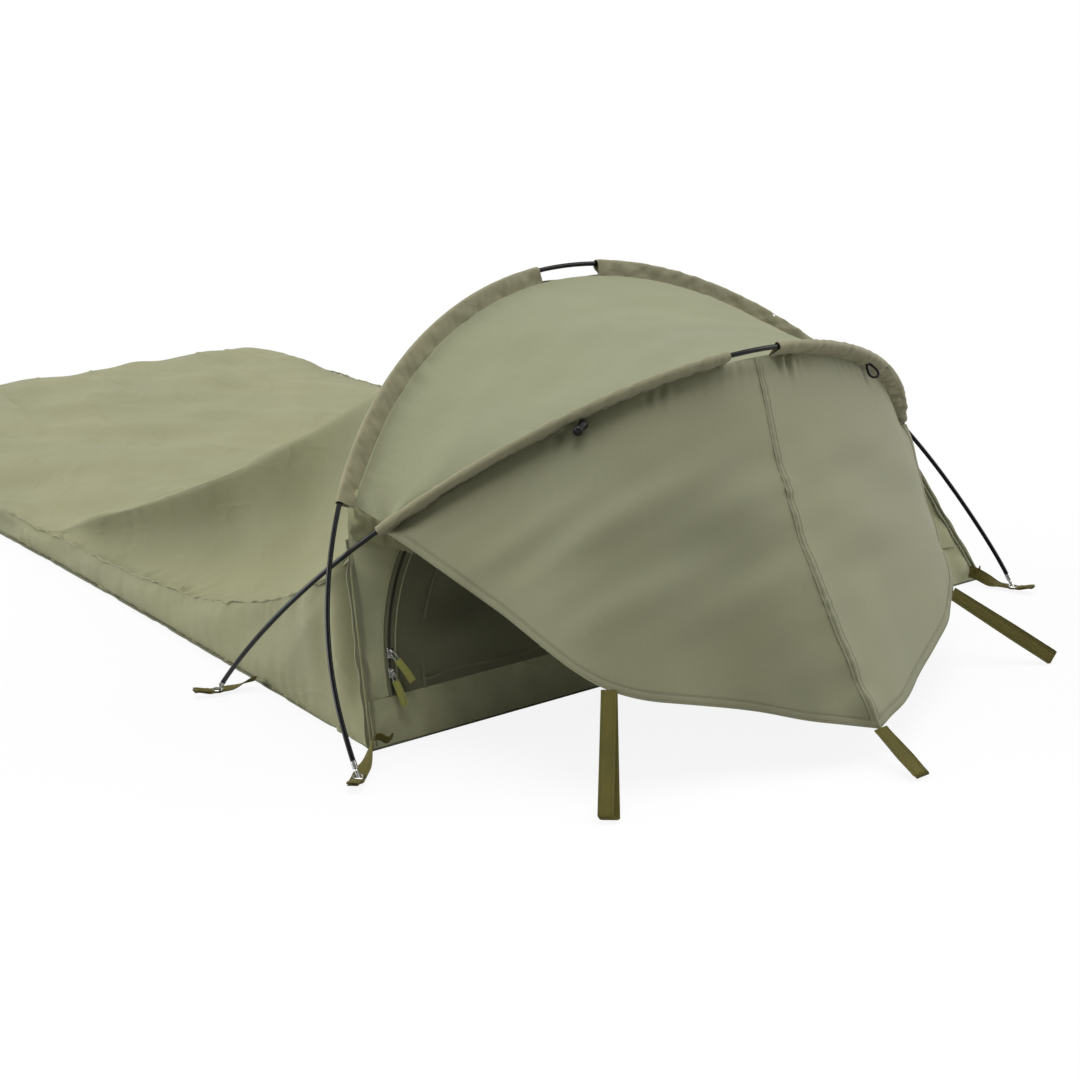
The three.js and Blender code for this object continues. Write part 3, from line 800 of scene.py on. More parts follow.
@dataclass(frozen=True)
class BagForm:
    """The bag's outline: its floor, side seams, top and leaning head wall."""

    side_bow: float = -0.022
    inset: float = 0.006
    seam_low: float = 0.044
    seam_rise: float = 0.2
    seam_reach: float = 0.34
    top_height: float = 0.084
    cover_end: float = 1.187
    cover_gap: float = 0.006
    ridge_angle: float = 65.0
    ridge_side: float = 0.572
    ridge_sag: float = 0.036
    ridge_share: float = 0.5
    hollow: float = 0.038
    side_bulge: float = 0.011
    wall_lean: float = 0.432
    shoulder: float = 0.29
    to_wall: float = 0.015
    floor_top: float = 0.003

    def half_at(self, y: Array) -> Array:
        """Half the floor's width at a distance from the head edge."""
        return HALF + self.side_bow * np.sin(math.pi * np.clip(y / BAG_LENGTH, 0, 1))

    def seam(self, y: Array) -> Array:
        """Height of the seam between side panel and top."""
        return self.seam_low + self.seam_rise * np.exp(-((np.maximum(y, 0) / self.seam_reach) ** 1.3))

    def wall_y(self, z: Array) -> Array:
        """The head wall's line at a height."""
        shoulder = self.wall_lean * (self.shoulder - self.floor_top)
        low = self.wall_lean * (z - self.floor_top)
        return np.where(z < self.shoulder, low, shoulder + REAR_HOOP.lean * (z - self.shoulder))

    def corner_x(self, z: Array, side: Array) -> Array:
        """Where a side of the head end lies across the bag at a height."""
        angle = REAR_HOOP.angle_at(self.shoulder)
        left = REAR_HOOP.point(angle)[0] + self.to_wall
        right = REAR_HOOP.point(180 - angle)[0] - self.to_wall
        shoulder = np.where(side < 0, left, right)
        return lerp(side * HALF, shoulder, np.minimum(z / self.shoulder, 1))

    def side(self, u: Array, v: Array, side: float) -> Array:
        """A side panel, from the head corner at u 0 and from the floor at v 0."""
        y0 = BAG_LENGTH * u**1.5
        z = lerp(self.floor_top + 0.0005, self.seam(y0), v)
        near = np.exp(-y0 / 0.15)
        lean_in = side * (self.half_at(y0) - self.inset - 0.1 * z)
        lean_in = lean_in + side * self.side_bulge * np.sin(math.pi * v**0.7) * np.exp(-y0 / 1.4)
        x = lerp(lean_in, self.corner_x(z, side), near)
        return vec(x, y0 * (1 - 0.002 / BAG_LENGTH) + self.wall_y(z) * near, z)

    def flat_z(self, x: Array, y: Array, foot: Array) -> Array:
        """Height of the flat of the bag, rounded off towards its sides."""
        reach = np.abs(x) / (self.half_at(y) - self.inset - 0.1 * self.seam(y))
        return lerp(self.seam(y), self.top_height * foot, 1 - np.clip(reach, 0, 1) ** 5)

    def rear(self, u: Array, v: Array) -> Array:
        """The cover below the rear hoop, with a taut ridge from each shoulder to the flat of the bag.

        Args:
            u: across, from the left seam at 0 to the right seam at 1.
            v: along, from the rear hoop at 0 to the flat at 1.

        Returns:
            Points on the cover.
        """
        side = np.where(u < 0.5, -1.0, 1.0)
        share = 1 - np.abs(2 * u - 1)
        start = REAR_HOOP.angle_at(float(self.seam(np.array(0.0))))
        bend = np.where(share < self.ridge_share, lerp(start, self.ridge_angle, share / self.ridge_share),
                        lerp(self.ridge_angle, 90.0, (share - self.ridge_share) / (1 - self.ridge_share)))
        arch = rear_seam(np.where(side < 0, bend, 180 - bend), self.cover_gap)
        low = np.clip(1 - (arch[..., 2] - float(self.seam(np.array(0.0)))) / 0.12, 0, 1)
        corner = on_wall(self.corner_x(arch[..., 2], side), arch[..., 2])
        arch = lerp(arch, corner, low[..., None])

        seam = self.side((self.cover_end * v / BAG_LENGTH) ** (1 / 1.5), 1 + 0 * v, side)
        shoulder = rear_seam(np.where(side < 0, self.ridge_angle, 180 - self.ridge_angle), self.cover_gap)
        foot_z = self.flat_z(self.ridge_side + 0 * u, self.cover_end + 0 * u, 1.0)
        foot = vec(side * self.ridge_side, self.cover_end, foot_z)
        ridge = lerp(shoulder, foot, v[..., None])
        ridge[..., 2] -= self.ridge_sag * np.sin(math.pi * v)
        crown = rear_seam(90.0 + 0 * u, self.cover_gap)
        middle = lerp(crown, np.array([0.0, self.cover_end, 0.0]), v[..., None])
        middle[..., 2] = self.top_height + (crown[..., 2] - self.top_height) * (1 - v) ** 2.8

        outer = np.clip(share / self.ridge_share, 0, 1)
        inner = np.clip((share - self.ridge_share) / (1 - self.ridge_share), 0, 1)
        below = lerp(seam, ridge, outer[..., None])
        below[..., 0] = lerp(seam[..., 0], ridge[..., 0], 1 - (1 - outer) ** 2.4)
        along = np.sin(math.pi * np.clip(v * 1.15, 0, 1))
        below[..., 0] -= side * self.hollow * np.sin(math.pi * outer**1.3) * along
        below[..., 2] = lerp(seam[..., 2], ridge[..., 2], outer**1.8)
        above = lerp(ridge, middle, inner[..., None])
        above[..., 2] = lerp(ridge[..., 2], middle[..., 2], 1 - (1 - inner) ** 2)
        grid = np.where((share < self.ridge_share)[..., None], below, above)
        grid = grid + (arch - grid[:, :1]) * ((1 - v) ** 8)[..., None]
        level = self.flat_z(grid[..., 0], grid[..., 1], 1.0)
        grid[..., 2] = lerp(grid[..., 2], level, smooth(0.8, 1.0, v))
        return grid

    def flat(self, u: Array, v: Array) -> Array:
        """The flat of the bag, from the end of the cover to the foot, with a soft far corner."""
        y = lerp(self.cover_end, BAG_LENGTH - 0.002, v)
        side = np.where(u < 0.5, -1.0, 1.0)
        share = 1 - np.abs(2 * u - 1)
        edge = self.half_at(y) - self.inset - 0.1 * self.seam(y)
        taut = np.where(share < self.ridge_share, lerp(edge, self.ridge_side, share / self.ridge_share),
                        lerp(self.ridge_side, 0.0, (share - self.ridge_share) / (1 - self.ridge_share)))
        x = side * lerp(taut, edge * (1 - share), smooth(0, 0.5, v))
        z = self.flat_z(x, y, 1 - 0.15 * v**8)
        bump = 0.026 * np.exp(-(((x - 0.5) / 0.12) ** 2) - ((y - 2.3) / 0.12) ** 2)
        return vec(x, y, z + bump * smooth(1.0, 0.97, np.abs(x) / edge))


FORM = BagForm()
REAR_SEAM_DROP = 0.021
FRONT_SEAM_DROP = 0.021


def rear_seam(angle: Array, back: float = 0.0) -> Array:
    """The line under the rear pole where sleeve, canopy and cover are sewn together.

    Args:
        angle: places along the hoop, in degrees.
        back: how far behind the line, towards the foot.

    Returns:
        Points on the seam.
    """
    return REAR_HOOP.point(angle) + REAR_HOOP.inward(angle) * REAR_SEAM_DROP + np.array([0, back, 0])


@dataclass
class SleepingBag:
    """The bag itself: floor, sides, top, foot end and the seams between them."""

    room: Workroom
    cloth: float = 0.0016
    floor: float = 0.003
    side_steps: tuple[int, int] = (260, 30)
    cover_steps: tuple[int, int] = (190, 120)
    flat_steps: tuple[int, int] = (190, 90)

    def build(self) -> None:
        """Makes every part of the bag."""
        self._groundsheet()
        top, rim = self._top()
        foot = self._foot(rim)
        for side in Side:
            self._side(side)
        self.room.declare(top, "stretched", ["side_left", "side_right", "rear_sleeve_cloth_left"])
        self.room.declare(foot, "stretched", ["groundsheet_cloth"])

    def _groundsheet(self) -> None:
        """The floor, with a slightly uneven sewn edge."""
        u, v = grid_uv(60, 160)
        y = BAG_LENGTH * v
        edge = 0.0012 * Ripple(11, 0.05)(y, u * 0)
        x = lerp(-1.0, 1.0, u) * (FORM.half_at(y) + np.minimum(edge, 0))
        middle = vec(x, y, self.floor / 2 + 0 * u)
        piece = self.room.sheet("groundsheet_cloth", middle, self.floor, FLOOR_CLOTH)
        self.room.fit(piece, "bag", "groundsheet")
        self.room.declare(piece, "laid", [])

    def _top(self) -> tuple[Object, Array]:
        """The whole top in one cloth: the cover from the rear hoop, then the flat of the bag.

        Returns:
            The piece and its edge at the foot.
        """
        u, v = grid_uv(*self.cover_steps)
        cover = FORM.rear(u, v)
        u2, v2 = grid_uv(*self.flat_steps)
        grid = relaxed(np.concatenate([cover, FORM.flat(u2, v2)[:, 1:]], axis=1), 4)
        share = np.linspace(0, 1, grid.shape[0])[:, None] * np.ones(grid.shape[:2])
        x, y = grid[..., 0], grid[..., 1]
        edge = np.minimum(share, 1 - share) * BAG_WIDTH
        calm = smooth(0.0, 0.06, edge)
        sewn = smooth(0.0, 0.012, edge)
        height = 0.0042 * Ripple(21, 0.34)(x, y) * calm * smooth(0.1, 0.5, y)
        height += 0.0016 * Ripple(22, 0.11, 1.8)(x, y) * calm
        height += 0.003 * Ripple(23, 0.3, 3.0).crease(x, y, 0.09) * calm * smooth(0.9, 1.4, y)
        height += 0.002 * Ripple(27, 0.16, 2.0).crease(y, x, 0.08) * calm * smooth(0.5, 1.0, y)
        height += 0.0022 * gathers(24, y, edge, 0.03, 0.04) * smooth(0.1, 0.3, y) * sewn
        fallen = np.abs(y - grid[:, :1, 1])
        height += 0.0012 * gathers(25, x, fallen, 0.03, 0.05) * smooth(0.0, 0.012, fallen)
        grid = raised(grid, height)
        piece = self.room.sheet("bag_top", grid, self.cloth, BAG_CLOTH)
        return self.room.fit(piece, "bag", "top_cover", "rear_cover"), grid[:, -1]

    def _side(self, side: Side) -> None:
        """A side panel with gathers at the floor, a welted seam on top and a bound corner."""
        u, v = grid_uv(*self.side_steps)
        grid = FORM.side(u, v, side.value)
        y, z = grid[..., 1], grid[..., 2]
        height = 0.0035 * Ripple(31 + side.value, 0.3)(y, z) * smooth(0, 0.5, v) * smooth(1.0, 0.6, v)
        height += 0.0018 * gathers(33 + side.value, y, z, 0.045, 0.03) * smooth(0.0, 0.01, z - FORM.floor_top)
        under = (1 - v) * FORM.seam(y)
        height += 0.0009 * gathers(36 + side.value, y, under, 0.03, 0.02) * smooth(1.0, 0.9, v)
        corner = np.exp(-(((y - FORM.wall_y(z)) / 0.11) ** 2))
        height += 0.01 * corner * np.sin((y - FORM.wall_y(z) + 0.1 * z) * 75) * smooth(0, 0.4, v)
        out = raised(grid, height * -side.value)
        piece = self.room.sheet(f"side_{side.word}", out, self.cloth, BAG_CLOTH)
        self.room.fit(piece, "bag", f"side_panel_{side.word}")
        self._welt(side)
        self._binding(side)
        self.room.declare(piece, "stretched", ["groundsheet_cloth"])

    def _welt(self, side: Side) -> None:
        """The rolled seam along the top of a side panel, and the one at the floor."""
        u = np.linspace(0.0, 1.0, 420)
        for word, share, radius in (("top", 1.0, 0.0019), ("floor", 0.0, 0.0021)):
            line = FORM.side(u, share + 0 * u, side.value)
            pull = Ripple(41 + side.value, 0.04)(line[:, 1], 0 * u)
            line[:, 2] += 0.0011 * pull + (0.0015 if share else 0.0)
            line[:, 0] += side.value * 0.0009 * Ripple(43, 0.03)(line[:, 1], 0 * u)
            wide = radius * (1 + 0.35 * Ripple(45, 0.022)(line[:, 1], 0 * u))
            piece = self.room.rod(f"{word}_welt_{side.word}", line, np.maximum(wide, 0.0012), BAG_CLOTH, 10)
            self.room.fit(piece, "bag")

    def _binding(self, side: Side) -> None:
        """The stitched strip that binds a head corner."""
        z = np.linspace(0.006, 0.262, 60)
        proud = 1.8 * smooth(0.26, 0.21, z) - 0.8
        x = FORM.corner_x(z, np.full_like(z, side.value)) + side.value * 0.0012 * proud
        line = vec(x, FORM.wall_y(z) - 0.0016 * proud, z)
        line[:, 0] += 0.0008 * Ripple(51, 0.06)(z, z)
        across = np.tile([1.0, 0.25 * side.value, 0.0], (len(z), 1))
        width = 0.007 + 0.009 * np.clip(proud, 0, 1)
        name = f"corner_binding_{side.word}"
        piece = self.room.ribbon(name, line, across, width, 0.0018, TAPE_CLOTH, 0.0012)
        self.room.fit(piece, "bag")
        cord = vec(x + side.value * 0.002 * proud, FORM.wall_y(z) - 0.002 * proud, z)
        radius = 0.0014 + 0.0006 * np.clip(proud, 0, 1)
        piece = self.room.rod(f"corner_piping_{side.word}", cord, radius, BAG_CLOTH, 12)
        self.room.fit(piece, "bag")

    def _foot(self, rim: Array) -> Object:
        """The panel that closes the foot end.

        Args:
            rim: the edge of the top, from left to right.

        Returns:
            The piece.
        """
        u, v = grid_uv(len(rim) - 1, 14)
        low = vec(lerp(-1.0, 1.0, u) * HALF * 0.985, BAG_LENGTH - 0.004, FORM.floor_top)
        grid = lerp(low, rim[:, None], v[..., None])
        free = np.sin(math.pi * v)
        grid[..., 1] += 0.0024 * free + 0.0009 * Ripple(61, 0.05)(grid[..., 0], grid[..., 2]) * free
        piece = self.room.sheet("foot_end", grid, self.cloth, BAG_CLOTH)
        return self.room.fit(piece, "bag", "foot_panel")


# ---------------------------------------------------------------- head wall, door and zip


@dataclass(frozen=True)
class Doorway:
    """The door's outline on the leaning head wall."""

    centre: float = -0.014
    half: float = 0.448 * BAG_WIDTH
    top: float = 0.38
    roundness: float = 2.4
    bottom: float = 0.06
    zip_half: float = 0.007

    def edge(self, share: Array, grow: float) -> tuple[Array, Array]:
        """Across and height along the zip, from its left foot at 0 to its right foot at 1."""
        start = math.asin((self.bottom / self.top) ** (self.roundness / 2))
        angle = lerp(start, math.pi - start, share)
        c, s = np.cos(angle), np.sin(angle)
        x = -np.sign(c) * (self.half + grow) * np.abs(c) ** (2 / self.roundness)
        return self.centre + x, (self.top + grow) * s ** (2 / self.roundness)

    def share_at(self, height: float) -> float:
        """How far along the zip its left run reaches a height."""
        shares = np.linspace(0, 0.4, 801)
        return float(np.interp(height, self.edge(shares, 0.0)[1], shares))


def on_wall(x: Array, z: Array, out: float = 0.0) -> Array:
    """A point of the head wall, moved out towards the awning."""
    return vec(x, FORM.wall_y(z) - out, z)


@dataclass
class HeadEnd:
    """The head wall with its door, sill, zip, sliders and pull tabs."""

    room: Workroom
    door: Doorway = Doorway()
    cloth: float = 0.0016
    slider_heights: tuple[float, float] = (0.088, 0.112)
    slider: tuple[float, float, float] = (0.009, 0.014, 0.004)
    tab: tuple[float, float, float] = (0.010, 0.036, 0.0014)
    tooth_pitch: float = 0.0036

    def build(self) -> None:
        """Makes the head end."""
        self._wall()
        self._sill()
        self._flap()
        self._zip()
        for index, word in enumerate(("lower", "upper")):
            self._slider(index, word)

    def _wall(self) -> None:
        """The cloth round the door, up to the rear hoop's seam."""
        share, v = grid_uv(200, 14)
        start = REAR_HOOP.angle_at(self.door.bottom)
        arch = rear_seam(lerp(start, 180 - start, share), -0.004)
        side = np.where(share < 0.5, -1.0, 1.0)
        low = smooth(FORM.shoulder + 0.05, FORM.shoulder - 0.02, arch[..., 2])
        corner = on_wall(FORM.corner_x(arch[..., 2], side), arch[..., 2])
        rim = lerp(arch, corner, low[..., None])
        x, z = self.door.edge(share, self.door.zip_half)
        grid = lerp(rim, on_wall(x, z), v[..., None])
        height = 0.0016 * Ripple(71, 0.08, 2.5)(grid[..., 2], grid[..., 0])
        grid = raised(grid, height * np.sin(math.pi * v))
        # Painted light: the wall's cloth is a lighter copy of the bag's cloth.
        piece = self.room.sheet("head_wall_cloth", grid, self.cloth, PAINTED_LIGHT_WALL_CLOTH)
        self.room.fit(piece, "bag", "head_wall")
        self.room.declare(piece, "stretched", ["rear_sleeve_cloth_left", "rear_sleeve_cloth_right"])

    def _sill(self) -> None:
        """The low strip under the door."""
        u, v = grid_uv(120, 8)
        z = lerp(FORM.floor_top, self.door.bottom, v)
        x = lerp(FORM.corner_x(z, -1 + 0 * z), FORM.corner_x(z, 1 + 0 * z), u)
        height = 0.0012 * Ripple(75, 0.06)(x, z) + 0.0012 * gathers(76, x, z, 0.03, 0.03)
        # Painted light: the sill takes the same lighter copy of the bag's cloth.
        piece = self.room.sheet("door_sill_cloth", raised(on_wall(x, z), height), self.cloth, PAINTED_LIGHT_WALL_CLOTH)
        self.room.fit(piece, "bag", "door_sill")
        self.room.declare(piece, "stretched", ["groundsheet_cloth"])

    def _flap(self) -> None:
        """The door, with its stitched facing inside the zip and its low seam."""
        share, v = grid_uv(150, 70)
        x, top = self.door.edge(share, -self.door.zip_half)
        z = lerp(self.door.bottom, np.maximum(top, self.door.bottom + 0.004), v)
        grid = on_wall(x, z)
        calm = np.sin(math.pi * np.clip(v, 0, 1)) * np.sin(math.pi * share) ** 0.5
        height = 0.009 * Ripple(81, 0.24)(x, z) * calm + 0.003 * Ripple(82, 0.09, 2.0)(z, x) * calm
        # Painted shade: the door cloth is a darker copy of the cloth, for the shade under the awning.
        piece = self.room.sheet("door_cloth_flap", raised(grid, height), self.cloth, PAINTED_SHADE_DOOR_CLOTH)
        seams = [self._flap_seam(side) for side in Side] + [self._low_seam()]
        self.room.fit(piece, "door", "door_flap")
        self.room.declare(piece, "stretched", ["head_wall_cloth"], seams)

    def _flap_seam(self, side: Side) -> Object:
        """The facing's stitched edge, a hand's width inside the zip."""
        share = np.linspace(0.004, 0.46, 120)
        if side is Side.RIGHT:
            share = 1 - share
        x, z = self.door.edge(share, -0.05)
        line = on_wall(x, np.maximum(z, self.door.bottom), 0.002)
        run = unit(np.gradient(line, axis=0))
        across = np.cross(run, [0, -1, 0.3])
        piece = self.room.ribbon(f"door_facing_seam_{side.word}", line, across, 0.004, 0.0018, TAPE_CLOTH)
        return self.room.fit(piece, "door")

    def _low_seam(self) -> Object:
        """The seam across the foot of the door."""
        x = np.linspace(-self.door.half * 0.92, self.door.half * 0.92, 120)
        line = on_wall(x, 0.072 + 0.0015 * np.sin(x * 40), 0.0022)
        across = np.tile([0, 0.4, 1.0], (len(x), 1))
        piece = self.room.ribbon("door_low_seam", line, across, 0.004, 0.0016, TAPE_CLOTH)
        return self.room.fit(piece, "door")

    def _zip(self) -> None:
        """Zip tape, two rows of teeth and the welted cloth edge beside them."""
        share, v = grid_uv(320, 6)
        left, low = self.door.edge(share, self.door.zip_half * 0.95)
        right, high = self.door.edge(share, -self.door.zip_half * 0.95)
        grid = on_wall(lerp(left, right, v), lerp(low, high, v), 0.0005)
        piece = self.room.sheet("zip_tape_run", grid, 0.0012, ZIP_TAPE)
        self.room.fit(piece, "bag", "door_zip")
        self._teeth()
        for word, grow in (("outer", 1.35), ("inner", -1.35)):
            x, z = self.door.edge(np.linspace(0, 1, 320), self.door.zip_half * grow)
            # Painted light: the welts take the same lighter copy of the bag's cloth.
            edge = self.room.rod(f"zip_welt_{word}", on_wall(x, z, 0.0012), 0.0012, PAINTED_LIGHT_WALL_CLOTH, 8)
            self.room.fit(edge, "bag")

    def _teeth(self) -> None:
        """Interlocked teeth along the middle of the zip."""
        shares = np.linspace(0, 1, 1600)
        x, z = self.door.edge(shares, 0.0)
        line = on_wall(x, z, 0.0016)
        length = np.concatenate([[0], np.cumsum(np.linalg.norm(np.diff(line, axis=0), axis=-1))])
        stops = np.arange(0.002, length[-1], self.tooth_pitch / 2)
        centres = np.stack([np.interp(stops, length, line[:, k]) for k in range(3)], -1)
        run = unit(np.gradient(centres, axis=0))
        out = unit(np.tile([0.0, -1.0, FORM.wall_lean], (len(stops), 1)))
        across = np.cross(run, out)
        lean = np.where(np.arange(len(stops)) % 2, 1.0, -1.0)[:, None]
        middle = centres + across * lean * 0.0008
        signs = np.array([[a, b, c] for a in (-1, 1) for b in (-1, 1) for c in (-1, 1)])
        thick = 0.0011 - 0.0003 * signs[None, :, 0:1] * lean[:, None]
        reach = (across[:, None] * signs[None, :, 0:1] * 0.0014
                 + run[:, None] * signs[None, :, 1:2] * 0.00075
                 + out[:, None] * signs[None, :, 2:3] * thick)
        points = (middle[:, None] + reach).reshape(-1, 3)
        cube = np.array([[0, 1, 3, 2], [4, 6, 7, 5], [0, 4, 5, 1], [2, 3, 7, 6], [0, 2, 6, 4], [1, 5, 7, 3]])
        faces = (cube[None] + 8 * np.arange(len(stops))[:, None, None]).reshape(-1, 4).tolist()
        piece = self.room.solid("zip_teeth", points, faces, points[:, [0, 2]], ZIP_COIL)
        self.room.fit(piece, "bag")

    def _slider(self, index: int, word: str) -> None:
        """One slider with its bridge, puller and woven tab."""
        share = self.door.share_at(self.slider_heights[index])
        (x, z), (x2, z2) = self.door.edge(np.array(share), 0.0), self.door.edge(np.array(share + 0.01), 0.0)
        run = unit(on_wall(x2, z2) - on_wall(x, z))
        across = unit(np.array([1.0, 0, 0]) - run * run[0])
        out = np.cross(across, run)
        wide, long, thick = self.slider
        centre = on_wall(x, z) + out * (0.0014 + thick / 2)
        axes = np.array([across, run, out])
        slider = f"slider_{word}"
        body = self.room.block(f"slider_body_{word}", centre, axes, (wide, long, thick * 0.8), 0.0014, PLATED)
        self.room.fit(body, slider, f"zip_slider_{word}")
        nose = self.room.block(f"slider_nose_{word}", centre + run * long * 0.32, axes,
                               (wide * 1.15, long * 0.34, thick * 0.95), 0.0014, PLATED)
        self.room.fit(nose, slider)
        bow = np.linspace(0, math.pi, 14)
        arch = (centre + out * thick * 0.3 + run * (np.cos(bow) * 0.0045)[:, None]
                + out * (np.sin(bow) * 0.003)[:, None])
        self.room.fit(self.room.rod(f"slider_bridge_{word}", arch, 0.0009, PLATED, 10), slider)
        self._tab(index, word, centre, run, out)

    def _tab(self, index: int, word: str, centre: Array, run: Array, out: Array) -> None:
        """The wire puller and the folded ribbon tab that hang from a slider."""
        body = f"tab_{word}"
        fall = unit(np.array([0.25 + 0.4 * index, -0.12, 0.0]) - run)
        side = unit(np.cross(fall, out))
        start = centre + out * (0.0032 + 0.0034 * index)
        angle = np.linspace(0, math.tau, 40, endpoint=False)
        loop = (start + fall * 0.007 + fall * (np.cos(angle) * 0.0085)[:, None]
                + side * (np.sin(angle) * 0.0032)[:, None])
        self.room.fit(self.room.rod(f"puller_{word}", loop, 0.0009, PLATED, 10, closed=True), body)
        length = self.tab[1]
        share = np.linspace(0, 1, 24)
        line = (start + fall * (0.012 + length * share)[:, None]
                + out * (0.0016 * np.sin(share * 3.0))[:, None])
        across = np.tile(side, (len(share), 1))
        ribbon = self.room.ribbon(f"pull_ribbon_{word}", line, across, self.tab[0], self.tab[2], RIBBON)
        self.room.fit(ribbon, body, f"pull_tab_{word}")
        back = self.room.ribbon(f"pull_ribbon_back_{word}", line - out * 0.0019, across, self.tab[0] * 0.96,
                                self.tab[2] * 0.8, RIBBON)
        self.room.fit(back, body)


# ---------------------------------------------------------------- hoops, sleeves and canopy


def front_seam(angle: Array) -> Array:
    """The line under the front pole where sleeve, canopy and awning are sewn together."""
    return FRONT_HOOP.point(angle) + FRONT_HOOP.inward(angle) * FRONT_SEAM_DROP


@dataclass(frozen=True)
class AwningForm:
    """The awning's shape: its hem, held by three stake loops, and the fall from the front hoop."""

    ends: tuple[float, float] = (32.0, 148.0)
    width: float = 1.25
    left: tuple[float, float, float] = (-0.355 * BAG_WIDTH, -0.29, 0.13)
    centre: tuple[float, float, float] = (-0.083 * BAG_WIDTH, -0.445, 0.044)
    right: tuple[float, float, float] = (0.225 * BAG_WIDTH, -0.232, 0.1)
    draw: float = 0.036
    bow: float = 0.014

    def stops(self) -> Array:
        """The points that the hem passes through."""
        left_end = FRONT_HOOP.point(FRONT_SLEEVES[0] + 1) + np.array([0, -0.008, -0.01])
        right_end = FRONT_HOOP.point(FRONT_SLEEVES[3] - 1) + np.array([0, -0.008, -0.01])
        left, centre, right = (np.array(p) for p in (self.left, self.centre, self.right))
        return np.array([
            left_end, (left_end + left) / 2, left, (left + centre) / 2, centre,
            (centre + right) / 2 + np.array([-0.025, -0.025, -0.012]), right,
            (right + right_end) / 2 + np.array([-0.02, -0.025, -0.01]), right_end,
        ])

    def hem(self, share: Array) -> Array:
        """Points along the hem, drawn to a corner at the centre strap."""
        share = np.asarray(share, float)
        stops = self.stops()
        middle = len(stops) // 2
        reach = np.clip(np.abs(share - 0.5) * (len(stops) - 1), 0, 1)
        beside = np.where((share < 0.5)[..., None], stops[middle - 1], stops[middle + 1])
        straight = lerp(stops[middle], beside, reach[..., None])
        drawn = np.exp(-(((share - 0.5) / 0.07) ** 2))
        return lerp(smooth_line(stops, share), straight, drawn[..., None])

    def top(self, u: Array) -> Array:
        """Points on the front hoop's seam, where the cloth is sewn on."""
        return front_seam(lerp(*self.ends, u))

    def surface(self, u: Array, v: Array) -> Array:
        """The cloth from the front hoop's seam at v 0 to the hem at v 1."""
        point = lerp(self.top(u), self.hem(u), v[..., None])
        bow = self.bow * np.sin(math.pi * v) * np.sin(math.pi * u)
        draw = self.draw * np.sin(math.pi * v) * np.exp(-(((u - 0.5) / 0.22) ** 2))
        return point + vec(-draw, -0.8 * bow, 0.6 * bow)

    def dressed(self, u: Array, v: Array) -> Array:
        """The surface with its folds."""
        grid = self.surface(u, v)
        length = np.linalg.norm(self.hem(u) - self.top(u), axis=-1)
        along = u * self.width
        away = v * length
        height = 0.0012 * Ripple(101, 0.4)(along, away) * np.sin(math.pi * v)
        height = height + 0.0019 * gathers(102, along, away, 0.016, 0.022) * smooth(0.0, 0.006, away)
        height = height + 0.0014 * Ripple(103, 0.1, 2.4)(away, along) * np.sin(math.pi * v)
        height = height + 0.0016 * gathers(104, away, np.abs(u - 0.5) * self.width, 0.045, 0.03)
        height = height + 0.0014 * gathers(105, along, length - away, 0.06, 0.03)
        return raised(grid, height)


AWNING = AwningForm()


